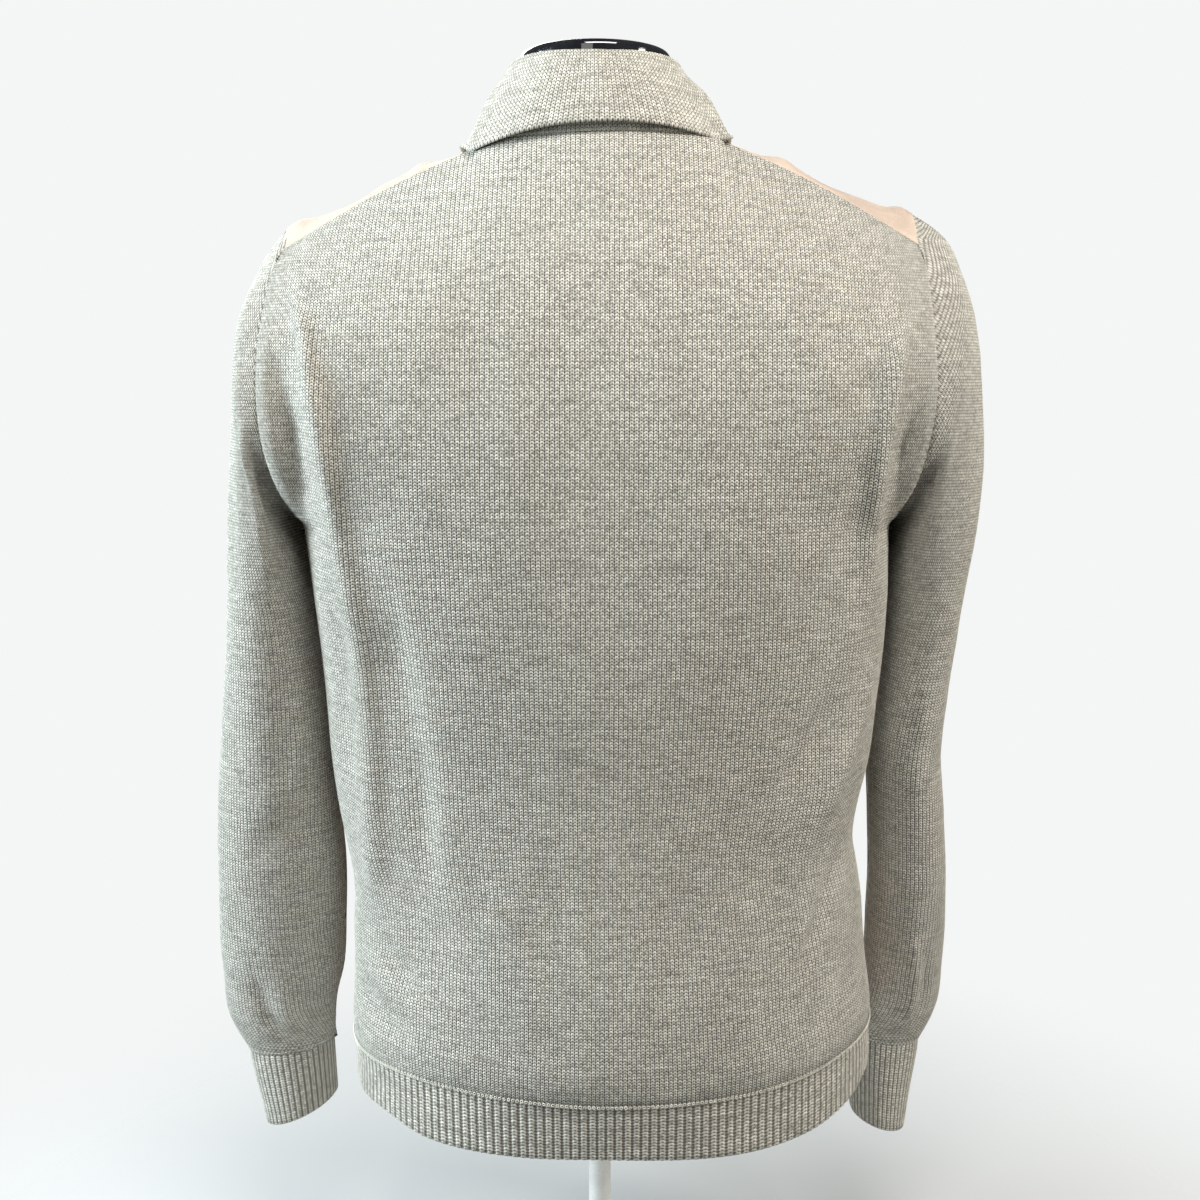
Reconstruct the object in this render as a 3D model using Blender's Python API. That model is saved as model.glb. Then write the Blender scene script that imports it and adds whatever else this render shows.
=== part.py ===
import math
import bpy
import bmesh
from mathutils import Vector

# Knit jacket with suede fronts, worn by a limbless dress form.
# Metres, +Z up. The fronts face -Y, the back faces +Y and the wearer's left is +X.

for leftover in list(bpy.data.objects):
    bpy.data.objects.remove(leftover, do_unlink=True)

# ---- walls and seams ----
KNIT = 0.0024              # wall of the knitted back and sleeves
SUEDE = 0.0014             # wall of the suede fronts
RIB = 0.0026               # wall of the ribbed bands, at a rib's crest
COLLAR = 0.0022            # wall of the collar cloth
TAPE = 0.0008              # zip tape
EDGE = 0.0002              # each sewn edge stops this far short of its seam line

# ---- heights and widths that drive the jacket ----
ARMPIT = 0.495             # height of the armpits
FRONT_EDGE = 0.0055        # half the opening between the two fronts
NECK_HALF = 0.080          # half width of the neck seam
NECK_Y = 0.026             # the shoulder seam runs this far behind the middle
NECK_BACK = 0.042          # neck seam, middle of the back, behind the shoulder seam
NECK_FRONT = 0.108         # neck seam, middle of the front, ahead of the shoulder seam
NECK_TOP = 0.7385          # height of the neck seam at the shoulder
NECK_RISE = 0.0018         # how much higher it is in the middle of the back
NECK_DROP = 0.072          # how much lower it is in the middle of the front
SHOULDER_HALF = 0.2085     # half width from shoulder end to shoulder end
SHOULDER_FALL = 0.527      # fall of the shoulder seam for each metre outward
TILT = 0.002               # the wearer's left shoulder hangs this much lower
STAND = 0.092              # the stand lifts everything drawn here by this much


def table(names, rows):
    keys = names.split()
    return {key: [row[i] for row in rows] for i, key in enumerate(keys)}


# body below the armpits: height, half widths, depths and squareness of the section
BODY = table("z left right back front square", [
    (0.095, 0.1745, 0.1930, 0.1350, 0.1250, 2.35),
    (0.138, 0.1760, 0.1930, 0.1385, 0.1290, 2.15),
    (0.160, 0.1750, 0.1920, 0.1390, 0.1300, 2.10),
    (0.190, 0.1738, 0.1880, 0.1345, 0.1275, 2.10),
    (0.212, 0.1740, 0.1860, 0.1300, 0.1250, 2.10),
    (0.232, 0.1728, 0.1843, 0.1260, 0.1235, 2.12),
    (0.254, 0.1742, 0.1808, 0.1225, 0.1225, 2.15),
    (0.275, 0.1785, 0.1772, 0.1200, 0.1220, 2.15),
    (0.297, 0.1825, 0.1795, 0.1185, 0.1225, 2.18),
    (0.332, 0.1865, 0.1872, 0.1180, 0.1255, 2.20),
    (0.374, 0.1885, 0.1908, 0.1195, 0.1305, 2.30),
    (0.409, 0.1910, 0.1940, 0.1215, 0.1340, 2.38),
    (0.443, 0.1940, 0.1950, 0.1235, 0.1360, 2.50),
    (0.475, 0.1965, 0.1940, 0.1245, 0.1365, 2.68),
    (0.495, 0.1980, 0.1935, 0.1248, 0.1355, 2.80),
    (0.560, 0.2000, 0.2000, 0.1245, 0.1290, 2.80),
    (0.620, 0.2050, 0.2050, 0.1200, 0.1120, 2.80),
    (0.680, 0.2085, 0.2085, 0.1130, 0.0900, 2.80),
    (0.740, 0.2085, 0.2085, 0.1050, 0.0820, 2.80),
])

# hem seam and hem edge across the back, right side seam to left side seam
HEM_BACK = table("u top low", [
    (-0.95, 0.1460, 0.1140),
    (-0.87, 0.1447, 0.1075),
    (-0.71, 0.1405, 0.1000),
    (-0.45, 0.1370, 0.0960),
    (0.00, 0.1360, 0.0980),
    (0.33, 0.1385, 0.0980),
    (0.65, 0.1400, 0.1000),
    (0.83, 0.1385, 0.1060),
    (0.95, 0.1360, 0.1050),
])
HEM_FRONT = table("u top low", [
    (-0.95, 0.1460, 0.1140),
    (-0.60, 0.1400, 0.1030),
    (0.00, 0.1360, 0.0990),
    (0.60, 0.1340, 0.1000),
    (0.95, 0.1360, 0.1050),
])

# armhole seam, as angles round it from the shoulder ridge by the back to the armpit
ARMHOLE_LEFT = table("turn x y z", [
    (0, 0.2085, -0.002, 0.6890),
    (20, 0.2085, 0.026, 0.6715),
    (45, 0.2130, 0.043, 0.6480),
    (70, 0.2185, 0.052, 0.6100),
    (90, 0.2195, 0.055, 0.5780),
    (110, 0.2170, 0.053, 0.5480),
    (135, 0.2100, 0.043, 0.5190),
    (160, 0.2020, 0.022, 0.5000),
    (180, 0.1980, 0.000, 0.4950),
    (200, 0.1985, -0.022, 0.5000),
    (225, 0.1990, -0.044, 0.5190),
    (250, 0.1975, -0.056, 0.5500),
    (270, 0.1970, -0.060, 0.5830),
    (290, 0.1990, -0.056, 0.6190),
    (315, 0.2040, -0.040, 0.6580),
    (340, 0.2075, -0.020, 0.6820),
    (360, 0.2085, -0.002, 0.6890),
])
ARMHOLE_RIGHT = table("turn x y z", [
    (0, 0.2085, -0.002, 0.6980),
    (20, 0.2085, 0.026, 0.6755),
    (45, 0.2110, 0.043, 0.6510),
    (70, 0.2140, 0.052, 0.6120),
    (90, 0.2155, 0.055, 0.5800),
    (110, 0.2120, 0.053, 0.5500),
    (135, 0.2045, 0.043, 0.5200),
    (160, 0.1965, 0.022, 0.5000),
    (180, 0.1935, 0.000, 0.4950),
    (200, 0.1945, -0.022, 0.5000),
    (225, 0.1960, -0.044, 0.5190),
    (250, 0.1960, -0.056, 0.5500),
    (270, 0.1970, -0.060, 0.5840),
    (290, 0.1990, -0.056, 0.6210),
    (315, 0.2040, -0.040, 0.6620),
    (340, 0.2075, -0.020, 0.6880),
    (360, 0.2085, -0.002, 0.6980),
])
TURNS = [0, 20, 38, 56, 74, 92, 110, 128, 146, 163, 180, 197, 214, 232, 250, 268, 286, 304, 322, 341]

# shoulder ridge above the shoulder seam, by distance from the middle
RIDGE = table("x rise", [
    (0.080, 0.003),
    (0.100, 0.007),
    (0.120, 0.012),
    (0.150, 0.013),
    (0.180, 0.015),
    (0.2085, 0.020),
])

# sleeves, one row per section from the armhole to the cuff seam:
# outer and inner edge, half depth, middle of the depth, share of the armhole's shape
SLEEVE_LEFT = table("k xo zo xi zi depth mid arm", [
    (1, 0.2295, 0.6640, 0.2055, 0.4965, 0.0580, 0.000, 0.80),
    (2, 0.2400, 0.6250, 0.2050, 0.4860, 0.0580, 0.000, 0.50),
    (3, 0.2455, 0.5780, 0.2010, 0.4740, 0.0570, -0.001, 0.25),
    (4, 0.2500, 0.5230, 0.1995, 0.4540, 0.0550, -0.002, 0.10),
    (5, 0.2550, 0.4670, 0.1975, 0.4290, 0.0520, -0.004, 0.00),
    (6, 0.2590, 0.4160, 0.1945, 0.3980, 0.0490, -0.006, 0.00),
    (7, 0.2640, 0.3700, 0.1915, 0.3630, 0.0460, -0.009, 0.00),
    (8, 0.2688, 0.3250, 0.1893, 0.3220, 0.0430, -0.012, 0.00),
    (9, 0.2732, 0.2800, 0.1870, 0.2800, 0.0410, -0.015, 0.00),
    (10, 0.2765, 0.2350, 0.1845, 0.2380, 0.0390, -0.018, 0.00),
    (11, 0.2777, 0.1950, 0.1860, 0.2000, 0.0370, -0.021, 0.00),
    (12, 0.2765, 0.1600, 0.1885, 0.1660, 0.0350, -0.024, 0.00),
    (13, 0.2750, 0.1300, 0.1955, 0.1370, 0.0330, -0.026, 0.00),
    (14, 0.2633, 0.1011, 0.1978, 0.1079, 0.0278, -0.028, 0.00),
])
SLEEVE_RIGHT = table("k xo zo xi zi depth mid arm", [
    (1, 0.2362, 0.6790, 0.2010, 0.4965, 0.0580, 0.000, 0.80),
    (2, 0.2470, 0.6415, 0.2005, 0.4860, 0.0580, 0.000, 0.50),
    (3, 0.2548, 0.5965, 0.1980, 0.4740, 0.0570, -0.001, 0.25),
    (4, 0.2583, 0.5410, 0.1980, 0.4550, 0.0550, -0.003, 0.10),
    (5, 0.2545, 0.4800, 0.1985, 0.4300, 0.0520, -0.006, 0.00),
    (6, 0.2490, 0.4250, 0.1985, 0.4000, 0.0490, -0.009, 0.00),
    (7, 0.2435, 0.3740, 0.1965, 0.3640, 0.0460, -0.013, 0.00),
    (8, 0.2425, 0.3250, 0.1925, 0.3230, 0.0430, -0.018, 0.00),
    (9, 0.2470, 0.2800, 0.1945, 0.2800, 0.0410, -0.024, 0.00),
    (10, 0.2525, 0.2350, 0.1975, 0.2380, 0.0390, -0.031, 0.00),
    (11, 0.2550, 0.1930, 0.1985, 0.1980, 0.0370, -0.038, 0.00),
    (12, 0.2560, 0.1570, 0.1985, 0.1630, 0.0350, -0.045, 0.00),
    (13, 0.2555, 0.1250, 0.1935, 0.1320, 0.0330, -0.051, 0.00),
    (14, 0.2453, 0.0951, 0.1882, 0.1009, 0.0278, -0.056, 0.00),
])
CUFF_LEFT = table("k xo zo xi zi depth mid", [
    (0, 0.2625, 0.1010, 0.1985, 0.1080, 0.0270, -0.028),
    (1, 0.2575, 0.0740, 0.1978, 0.0890, 0.0280, -0.029),
    (2, 0.2515, 0.0400, 0.1970, 0.0620, 0.0290, -0.030),
])
CUFF_RIGHT = table("k xo zo xi zi depth mid", [
    (0, 0.2445, 0.0950, 0.1890, 0.1010, 0.0270, -0.056),
    (1, 0.2400, 0.0580, 0.1905, 0.0670, 0.0275, -0.057),
    (2, 0.2360, 0.0220, 0.1935, 0.0330, 0.0280, -0.058),
])
CUFF_RIBS = 42
HEM_RIBS = 180
RIB_DEPTH = 0.0010

# largest folds of the body: the path's two ends (across, height), half width, height of the ridge
FOLDS = table("face x0 z0 x1 z1 spread lift", [
    (1, 0.185, 0.600, 0.160, 0.330, 0.016, 0.0045),
    (1, 0.160, 0.330, 0.152, 0.220, 0.014, 0.0035),
    (1, 0.203, 0.600, 0.196, 0.500, 0.012, -0.0080),
    (1, 0.140, 0.420, 0.112, 0.200, 0.018, -0.0030),
    (1, -0.183, 0.610, -0.176, 0.480, 0.012, 0.0035),
    (1, -0.200, 0.600, -0.192, 0.500, 0.012, -0.0080),
    (1, -0.165, 0.350, -0.125, 0.270, 0.014, 0.0030),
    (-1, 0.110, 0.560, 0.130, 0.300, 0.025, 0.0020),
    (-1, -0.120, 0.540, -0.115, 0.280, 0.025, 0.0020),
])


def read(tab, key, name, x):
    """Smooth value of a table's column at x."""
    xs = tab[key]
    ys = tab[name]
    last = len(xs) - 1
    x = min(max(x, xs[0]), xs[last])
    i = 0
    while i < last - 1 and x > xs[i + 1]:
        i += 1

    def lean(j):
        a = max(j - 1, 0)
        b = min(j + 1, last)
        return (ys[b] - ys[a]) / (xs[b] - xs[a])

    h = xs[i + 1] - xs[i]
    s = (x - xs[i]) / h
    return ((2 * s ** 3 - 3 * s ** 2 + 1) * ys[i] + (s ** 3 - 2 * s ** 2 + s) * h * lean(i)
            + (3 * s ** 2 - 2 * s ** 3) * ys[i + 1] + (s ** 3 - s ** 2) * h * lean(i + 1))


def clamp(x, lo=0.0, hi=1.0):
    return max(lo, min(hi, x))


def ease(x):
    x = clamp(x)
    return x * x * (3 - 2 * x)


def fall(s, m, e):
    return max(0.0, 1.0 - abs(s) ** m) ** e


def half(u, z):
    return read(BODY, "z", "left" if u >= 0 else "right", z)


def armhole(side, turn):
    """Point of the armhole seam."""
    tab = ARMHOLE_LEFT if side > 0 else ARMHOLE_RIGHT
    turn = turn % 360
    return Vector((side * read(tab, "turn", "x", turn), read(tab, "turn", "y", turn),
                   read(tab, "turn", "z", turn)))


def neck_turn(u):
    """Share of the neck seam's half width reached at u, 1 at the shoulder seam."""
    return clamp(abs(u) * SHOULDER_HALF / NECK_HALF)


def top_line(u):
    """Depth and height of the back's upper edge."""
    s = neck_turn(u)
    c = math.sqrt(1 - s * s)
    out = max(abs(u) * SHOULDER_HALF - NECK_HALF, 0.0)
    z = NECK_TOP + NECK_RISE * c - SHOULDER_FALL * out - math.copysign(TILT * s, u)
    return NECK_Y + NECK_BACK * c, z


def soft_top(u, s):
    """The same line with its corner rounded, as rows below it follow it."""
    y, z = top_line(u)
    d = abs(u) * SHOULDER_HALF - NECK_HALF
    round_out = (d + math.sqrt(d * d + 0.05 ** 2)) / 2
    round_z = NECK_TOP + 0.004 - SHOULDER_FALL * round_out - TILT * u
    round_y = NECK_Y + NECK_BACK * fall(u / 0.62, 2, 2)
    return round_y + (y - round_y) * s ** 22, round_z + (z - round_z) * s ** 12


def fold_lift(face, x, z):
    lift = 0.0
    for i in range(len(FOLDS["face"])):
        if FOLDS["face"][i] != face:
            continue
        ax, az = FOLDS["x0"][i], FOLDS["z0"][i]
        bx, bz = FOLDS["x1"][i], FOLDS["z1"][i]
        dx, dz = bx - ax, bz - az
        s = ((x - ax) * dx + (z - az) * dz) / (dx * dx + dz * dz)
        near = clamp(s)
        away = math.hypot(x - ax - near * dx, z - az - near * dz)
        ends = ease(4 * (s + 0.15)) * ease(4 * (1.15 - s))
        lift += FOLDS["lift"][i] * ends * math.exp(-(away / FOLDS["spread"][i]) ** 2)
    return lift


def hem_line(face, name, u):
    """Height of the hem seam or hem edge, level across the side seams."""
    return read(HEM_BACK if face > 0 else HEM_FRONT, "u", name, clamp(u, -0.95, 0.95))


def lower(face, u, v, folded=True):
    """Body point between hem seam (v = -1) and armpit (v = 0)."""
    z = ARMPIT + v * (ARMPIT - hem_line(face, "top", u))
    n = read(BODY, "z", "square", z)
    d = read(BODY, "z", "back" if face > 0 else "front", z)
    x = u * half(u, z)
    y = d * fall(u, n, 1 / n)
    if folded:
        y += fold_lift(face, x, z) * fall(u, 8, 1) * ease(5 * (v + 1))
    return Vector((x, face * y, z))


def climb(turn):
    """Share of the way from armpit to shoulder, the same on both sides."""
    top = 20 if turn <= 180 else 360
    a = armhole(1, turn if turn < 359 else 0).z + armhole(-1, turn if turn < 359 else 0).z
    b = armhole(1, top % 360).z + armhole(-1, top % 360).z
    return clamp((a - 2 * ARMPIT) / (b - 2 * ARMPIT))


def side_roll(u, edge_y):
    """Fall of a panel from its middle towards an armhole edge at depth edge_y."""
    k = clamp(abs(edge_y) / 0.055)
    m = 2.8 - 0.2 * k
    e = 1 / 2.8 + 0.190 * k
    return fall(u, m, e)


def upper_back(u, turn, folded=True):
    """Back point above the armpits, on the row that meets the armhole at turn."""
    s = climb(turn)
    side = 1 if u >= 0 else -1
    edge = armhole(side, turn)
    ty, tz = soft_top(u, s)
    z = ARMPIT + (tz - ARMPIT) * s
    z += (edge.z - (ARMPIT + (soft_top(side, s)[1] - ARMPIT) * s)) * abs(u) ** 5
    p = 3.4 + ease(abs(u) / 0.6)
    deep = ty + (read(BODY, "z", "back", z) - ty) * (1 - s ** p)
    y = edge.y + (deep - edge.y) * side_roll(u, edge.y)
    if s > 0.999:
        y = ty
    x = u * abs(edge.x)
    if folded:
        y += fold_lift(1, x, z) * fall(u, 12, 1) * fall(s, 6, 1)
    return Vector((x, y, z))


def upper_front(u, turn, folded=True):
    """Front point above the armpits; turns past 360 run from ridge to shoulder seam."""
    s = climb(min(turn, 360))
    over = clamp((turn - 360) / 20)
    side = 1 if u >= 0 else -1
    edge = armhole(side, turn)
    q = neck_turn(u)
    part = s
    if q >= 0.9999:
        z_seam = top_line(u)[1]
        z_end = top_line(side)[1]
        ridge = z_seam + read(RIDGE, "x", "rise", abs(u) * SHOULDER_HALF)
        ridge_end = z_end + read(RIDGE, "x", "rise", SHOULDER_HALF)
        y_top = -0.002 + (NECK_Y + 0.002) * over
        z = ARMPIT + (ridge - ARMPIT) * s
        z += (z_seam - ridge) * over ** 1.5
        z_here = ARMPIT + (ridge_end - ARMPIT) * s + (z_end - ridge_end) * over ** 1.5
        z += (edge.z - z_here) * abs(u) ** 5
    else:
        c = math.sqrt(1 - q * q)
        y_top = NECK_Y - NECK_FRONT * c
        z_top = top_line(u)[1] - NECK_RISE * c - NECK_DROP * (1 - q)
        part = s * (0.93 + 0.07 * over)
        z = ARMPIT + (z_top - ARMPIT) * part
    bend = 0.62 + 0.20 * (1 - q)
    power = 2.5 - 0.7 * (1 - q)
    deep = y_top + (-read(BODY, "z", "front", z) - y_top) * fall(part, power, bend)
    y = edge.y + (deep - edge.y) * side_roll(u, edge.y)
    if part > 0.999:
        y = y_top
    x = u * abs(edge.x)
    if folded:
        y -= fold_lift(-1, x, z) * fall(u, 12, 1) * fall(s, 6, 1)
    return Vector((x, y, z))


def sleeve(side, k, turn):
    """Sleeve point on section k, 0 at the armhole seam."""
    seam = armhole(side, turn)
    if k <= 0:
        return seam
    tab = SLEEVE_LEFT if side > 0 else SLEEVE_RIGHT
    a = math.radians(turn)

    def oval(outer, inner, deep, mid):
        c = (outer + inner) / 2
        r = (outer - inner) / 2
        return c + r * math.cos(a) + Vector((0, mid + deep * math.sin(a), 0))

    kk = max(k, 1)
    outer = Vector((side * read(tab, "k", "xo", kk), 0, read(tab, "k", "zo", kk)))
    inner = Vector((side * read(tab, "k", "xi", kk), 0, read(tab, "k", "zi", kk)))
    here = oval(outer, inner, read(tab, "k", "depth", kk), read(tab, "k", "mid", kk))
    top = armhole(side, 0)
    low = armhole(side, 180)
    plain = oval(Vector((top.x, 0, top.z)), Vector((low.x, 0, low.z)), 0.058, 0.0)
    point = here + (seam - plain) * read(tab, "k", "arm", kk)
    if k < 1:
        point = seam.lerp(point, k)
    return point


# ---- colours ----
COLOURS = {
    "knit": ((0.43, 0.42, 0.36), 0.95),
    "rib": ((0.38, 0.37, 0.32), 0.95),
    "suede": ((0.86, 0.76, 0.64), 0.9),
    "tape": ((0.55, 0.50, 0.42), 0.9),
    "metal": ((0.72, 0.71, 0.69), 0.3),
    "form": ((0.82, 0.80, 0.75), 0.7),
    "gloss": ((0.01, 0.01, 0.012), 0.12),
}


def material(name, kind):
    colour, rough = COLOURS[kind]
    mat = bpy.data.materials.new(name)
    mat.use_nodes = True
    shader = mat.node_tree.nodes["Principled BSDF"]
    shader.inputs["Base Color"].default_value = (*colour, 1)
    shader.inputs["Roughness"].default_value = rough
    shader.inputs["Metallic"].default_value = 1.0 if kind == "metal" else 0.0
    mat.diffuse_color = (*colour, 1)
    return mat


group = bpy.data.collections.new("knit_jacket")
bpy.context.scene.collection.children.link(group)
cutters = bpy.data.collections.new("cutters")
bpy.context.scene.collection.children.link(cutters)


def add_object(name, bm, kind, origin=(0, 0, 0)):
    bmesh.ops.recalc_face_normals(bm, faces=bm.faces)
    mesh = bpy.data.meshes.new(name)
    bm.to_mesh(mesh)
    bm.free()
    obj = bpy.data.objects.new(name, mesh)
    obj.location = (origin[0], origin[1], origin[2] + STAND)
    mesh.materials.append(material(name, kind))
    group.objects.link(obj)
    return obj


# ---- cloth pieces: a grid of points on the outer face, given a wall ----
class Cloth:
    def __init__(self, name, grid, wall, kind, around=False):
        self.name = name
        self.grid = grid
        self.wall = wall
        self.kind = kind
        self.around = around
        self.normals = self.find_normals()

    def find_normals(self):
        rows = len(self.grid)
        cols = len(self.grid[0])
        out = []
        for j in range(rows):
            line = []
            for i in range(cols):
                if self.around:
                    a = self.grid[j][(i + 1) % cols] - self.grid[j][i - 1]
                else:
                    a = self.grid[j][min(i + 1, cols - 1)] - self.grid[j][max(i - 1, 0)]
                b = self.grid[min(j + 1, rows - 1)][i] - self.grid[max(j - 1, 0)][i]
                line.append(a.cross(b).normalized())
            out.append(line)
        return out

    def length_of(self, name, first, last):
        """The rows from first to last as a piece of their own."""
        part = Cloth(name, self.grid[first:last + 1], self.wall, self.kind, self.around)
        part.normals = self.normals[first:last + 1]
        return part

    def rim(self):
        rows = len(self.grid)
        cols = len(self.grid[0])
        for j in range(rows):
            for i in range(cols):
                side = not self.around and i in (0, cols - 1)
                if side or j in (0, rows - 1):
                    yield j, i


def join_normals(cloths):
    """Pieces that share a seam turn their walls' edges the same way along it."""
    shared = {}
    for cloth in cloths:
        for j, i in cloth.rim():
            key = tuple(round(c, 5) for c in cloth.grid[j][i])
            shared.setdefault(key, []).append((cloth, j, i, cloth.normals[j][i].copy()))
    for group_here in shared.values():
        total = Vector()
        for entry in group_here:
            total += entry[3]
        if len(group_here) < 2 or total.length < 0.2:
            continue
        total.normalize()
        share = sum(total.dot(entry[3]) for entry in group_here) / len(group_here)
        for cloth, j, i, own in group_here:
            cloth.normals[j][i] = total / max(share, 0.75)


def square_to(step, line):
    """Unit direction of a step, square to a line."""
    return (step - line * (step.dot(line) / line.length_squared)).normalized()


def build_cloth(cloth, gaps):
    """Closed wall from a grid; edges named in gaps are drawn back from their seam lines."""
    rows = len(cloth.grid)
    cols = len(cloth.grid[0])
    outer = [[p.copy() for p in line] for line in cloth.grid]
    inner = [[p - n * cloth.wall for p, n in zip(line, normals)]
             for line, normals in zip(cloth.grid, cloth.normals)]
    for skin in (outer, inner):
        moves = []
        for j in range(rows):
            for i in range(cols):
                shift = Vector()
                if cloth.around:
                    across = skin[j][(i + 1) % cols] - skin[j][i - 1]
                else:
                    across = skin[j][min(i + 1, cols - 1)] - skin[j][max(i - 1, 0)]
                along = skin[min(j + 1, rows - 1)][i] - skin[max(j - 1, 0)][i]
                if j == 0 and "d" in gaps:
                    shift += square_to(skin[1][i] - skin[0][i], across) * gaps["d"]
                if j == rows - 1 and "u" in gaps:
                    shift += square_to(skin[j - 1][i] - skin[j][i], across) * gaps["u"]
                if not cloth.around:
                    if i == 0 and "l" in gaps:
                        shift += square_to(skin[j][1] - skin[j][0], along) * gaps["l"]
                    if i == cols - 1 and "r" in gaps:
                        shift += square_to(skin[j][i - 1] - skin[j][i], along) * gaps["r"]
                if shift.length > 0:
                    moves.append((j, i, shift))
        for j, i, shift in moves:
            skin[j][i] += shift
    bm = bmesh.new()
    top = [[bm.verts.new(p) for p in line] for line in outer]
    low = [[bm.verts.new(p) for p in line] for line in inner]
    steps = cols if cloth.around else cols - 1
    for j in range(rows - 1):
        for i in range(steps):
            k = (i + 1) % cols
            bm.faces.new((top[j][i], top[j][k], top[j + 1][k], top[j + 1][i]))
            bm.faces.new((low[j][i], low[j + 1][i], low[j + 1][k], low[j][k]))
    for j in (0, rows - 1):
        for i in range(steps):
            k = (i + 1) % cols
            bm.faces.new((top[j][i], top[j][k], low[j][k], low[j][i]))
    if not cloth.around:
        for i in (0, cols - 1):
            for j in range(rows - 1):
                bm.faces.new((top[j][i], top[j + 1][i], low[j + 1][i], low[j][i]))
    return add_object(cloth.name, bm, cloth.kind)


# ---- back, fronts and sleeves ----
# seen from outside, columns run to the right and rows run upward
LOW_ROWS = [-1.0, -0.94, -0.86, -0.78, -0.69, -0.60, -0.50, -0.40, -0.30, -0.20, -0.10]
BACK_TURNS = [t for t in TURNS if 20 <= t <= 180][::-1]
FRONT_TURNS = [t for t in TURNS if t >= 180] + [360, 380]
NECK_U = NECK_HALF / SHOULDER_HALF
SHARED_U = [NECK_U, 0.50, 0.61, 0.71, 0.80, 0.88, 0.94, 0.98, 1.0]
NECK_INNER_U = [NECK_U * math.sin(math.radians(a)) for a in (22.5, 45, 67.5)]
BACK_U = [-u for u in (NECK_INNER_U + SHARED_U)[::-1]] + [0.0] + NECK_INNER_U + SHARED_U
FRONT_U = [0.0, 0.10] + NECK_INNER_U + SHARED_U

back_grid = [[lower(1, u, v) for u in BACK_U[::-1]] for v in LOW_ROWS]
back_grid += [[upper_back(u, t) for u in BACK_U[::-1]] for t in BACK_TURNS]


def front_grid(side):
    """Rows of a front, from the middle edge outward."""
    lines = [[lower(-1, side * u, v) for u in FRONT_U] for v in LOW_ROWS]
    lines += [[upper_front(side * u, t) for u in FRONT_U] for t in FRONT_TURNS]
    for line in lines:
        line[0].x = side * FRONT_EDGE
    return lines


ELBOW = 7                  # sleeve section at the elbow


def sleeve_grid(side):
    order = TURNS if side > 0 else TURNS[::-1]
    return [[sleeve(side, k, t) for t in order] for k in range(14, -1, -1)]


# ---- neck band and collar, by angle round the neck from the middle of the back ----
BAND = 0.008               # height of the neck band
FOLD = 0.0026              # half the thickness of the collar's folded top
LEAF_CLEAR = 0.0028        # air under the leaf where it lies on the fronts
LEAF_SWELL = 0.0012        # the leaf's bulge between fold and edge
FOLD_LINE = table("psi x y z", [
    (0, 0.0000, 0.0620, 0.7890),
    (30, 0.0280, 0.0555, 0.7895),
    (60, 0.0475, 0.0340, 0.7900),
    (90, 0.0535, 0.0030, 0.7890),
    (120, 0.0475, -0.0260, 0.7770),
    (150, 0.0300, -0.0460, 0.7520),
    (180, 0.0075, -0.0550, 0.7250),
])
LEAF_BACK = table("psi x y z", [
    (0, 0.0000, 0.0835, 0.7455),
    (30, 0.0450, 0.0735, 0.7445),
    (60, 0.0770, 0.0430, 0.7430),
    (90, 0.0875, 0.0040, 0.7425),
])
LEAF_FRONT = table("psi u turn", [
    (90, 0.4200, 356),
    (112.5, 0.4100, 341),
    (135, 0.3750, 331),
    (157.5, 0.3100, 322),
    (180, 0.2350, 313),
])
SHIFT = 0.003              # the neck sits this far to the wearer's left
SIDE_ANGLE = math.degrees(math.asin(0.10 / NECK_U))
HALF_ANGLES = [22.5, 45, 67.5, 90, 112.5, 135, 157.5, 180 - SIDE_ANGLE, 180]
ANGLES = HALF_ANGLES[::-1] + [0] + [-a for a in HALF_ANGLES]


def neck_seam(psi):
    side = 1 if psi >= 0 else -1
    q = math.sin(math.radians(abs(psi)))
    u = side * NECK_U * q
    y, z = top_line(u)
    x = SHOULDER_HALF * u
    if abs(psi) > 90:
        c = math.sqrt(max(1 - q * q, 0))
        y = NECK_Y - NECK_FRONT * c
        z -= NECK_RISE * c + NECK_DROP * (1 - q)
    if abs(psi) > 179:
        x = side * FRONT_EDGE
    return Vector((x, y, z))


def panel_normal(u, turn):
    across = upper_front(u + 0.01, turn) - upper_front(u - 0.01, turn)
    along = upper_front(u, turn + 2) - upper_front(u, turn - 2)
    return across.cross(along).normalized()


def band_line(psi):
    """Neck seam, top of the neck band, and the outward direction across the band."""
    side = 1 if psi >= 0 else -1
    a = abs(psi)
    fade = 1 - ease((a - 90) / 60)
    crest = Vector((side * read(FOLD_LINE, "psi", "x", a) + SHIFT * fade,
                    read(FOLD_LINE, "psi", "y", a), read(FOLD_LINE, "psi", "z", a)))
    seam = neck_seam(psi)
    out = Vector((side * math.sin(math.radians(a)), math.cos(math.radians(a)), 0))
    stand_top = crest - out * (FOLD - COLLAR) - Vector((0, 0, FOLD))
    rise = (stand_top - seam).normalized()
    lean = (out - rise * out.dot(rise)).normalized()
    return crest, seam, out, stand_top, seam + rise * BAND, lean


# what the leaf lies over: the fronts round the neck, and the neck band
ground = []
for step_u in range(-22, 23):
    for turn in range(292, 381, 4):
        u = step_u * 0.025 or 0.001
        ground.append((upper_front(u, turn), panel_normal(u, turn)))
for psi in range(-180, 181, 6):
    crest, seam, out, stand_top, band_top, lean = band_line(psi)
    ground += [(seam.lerp(band_top, t), lean) for t in (0, 0.5, 1)]


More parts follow.
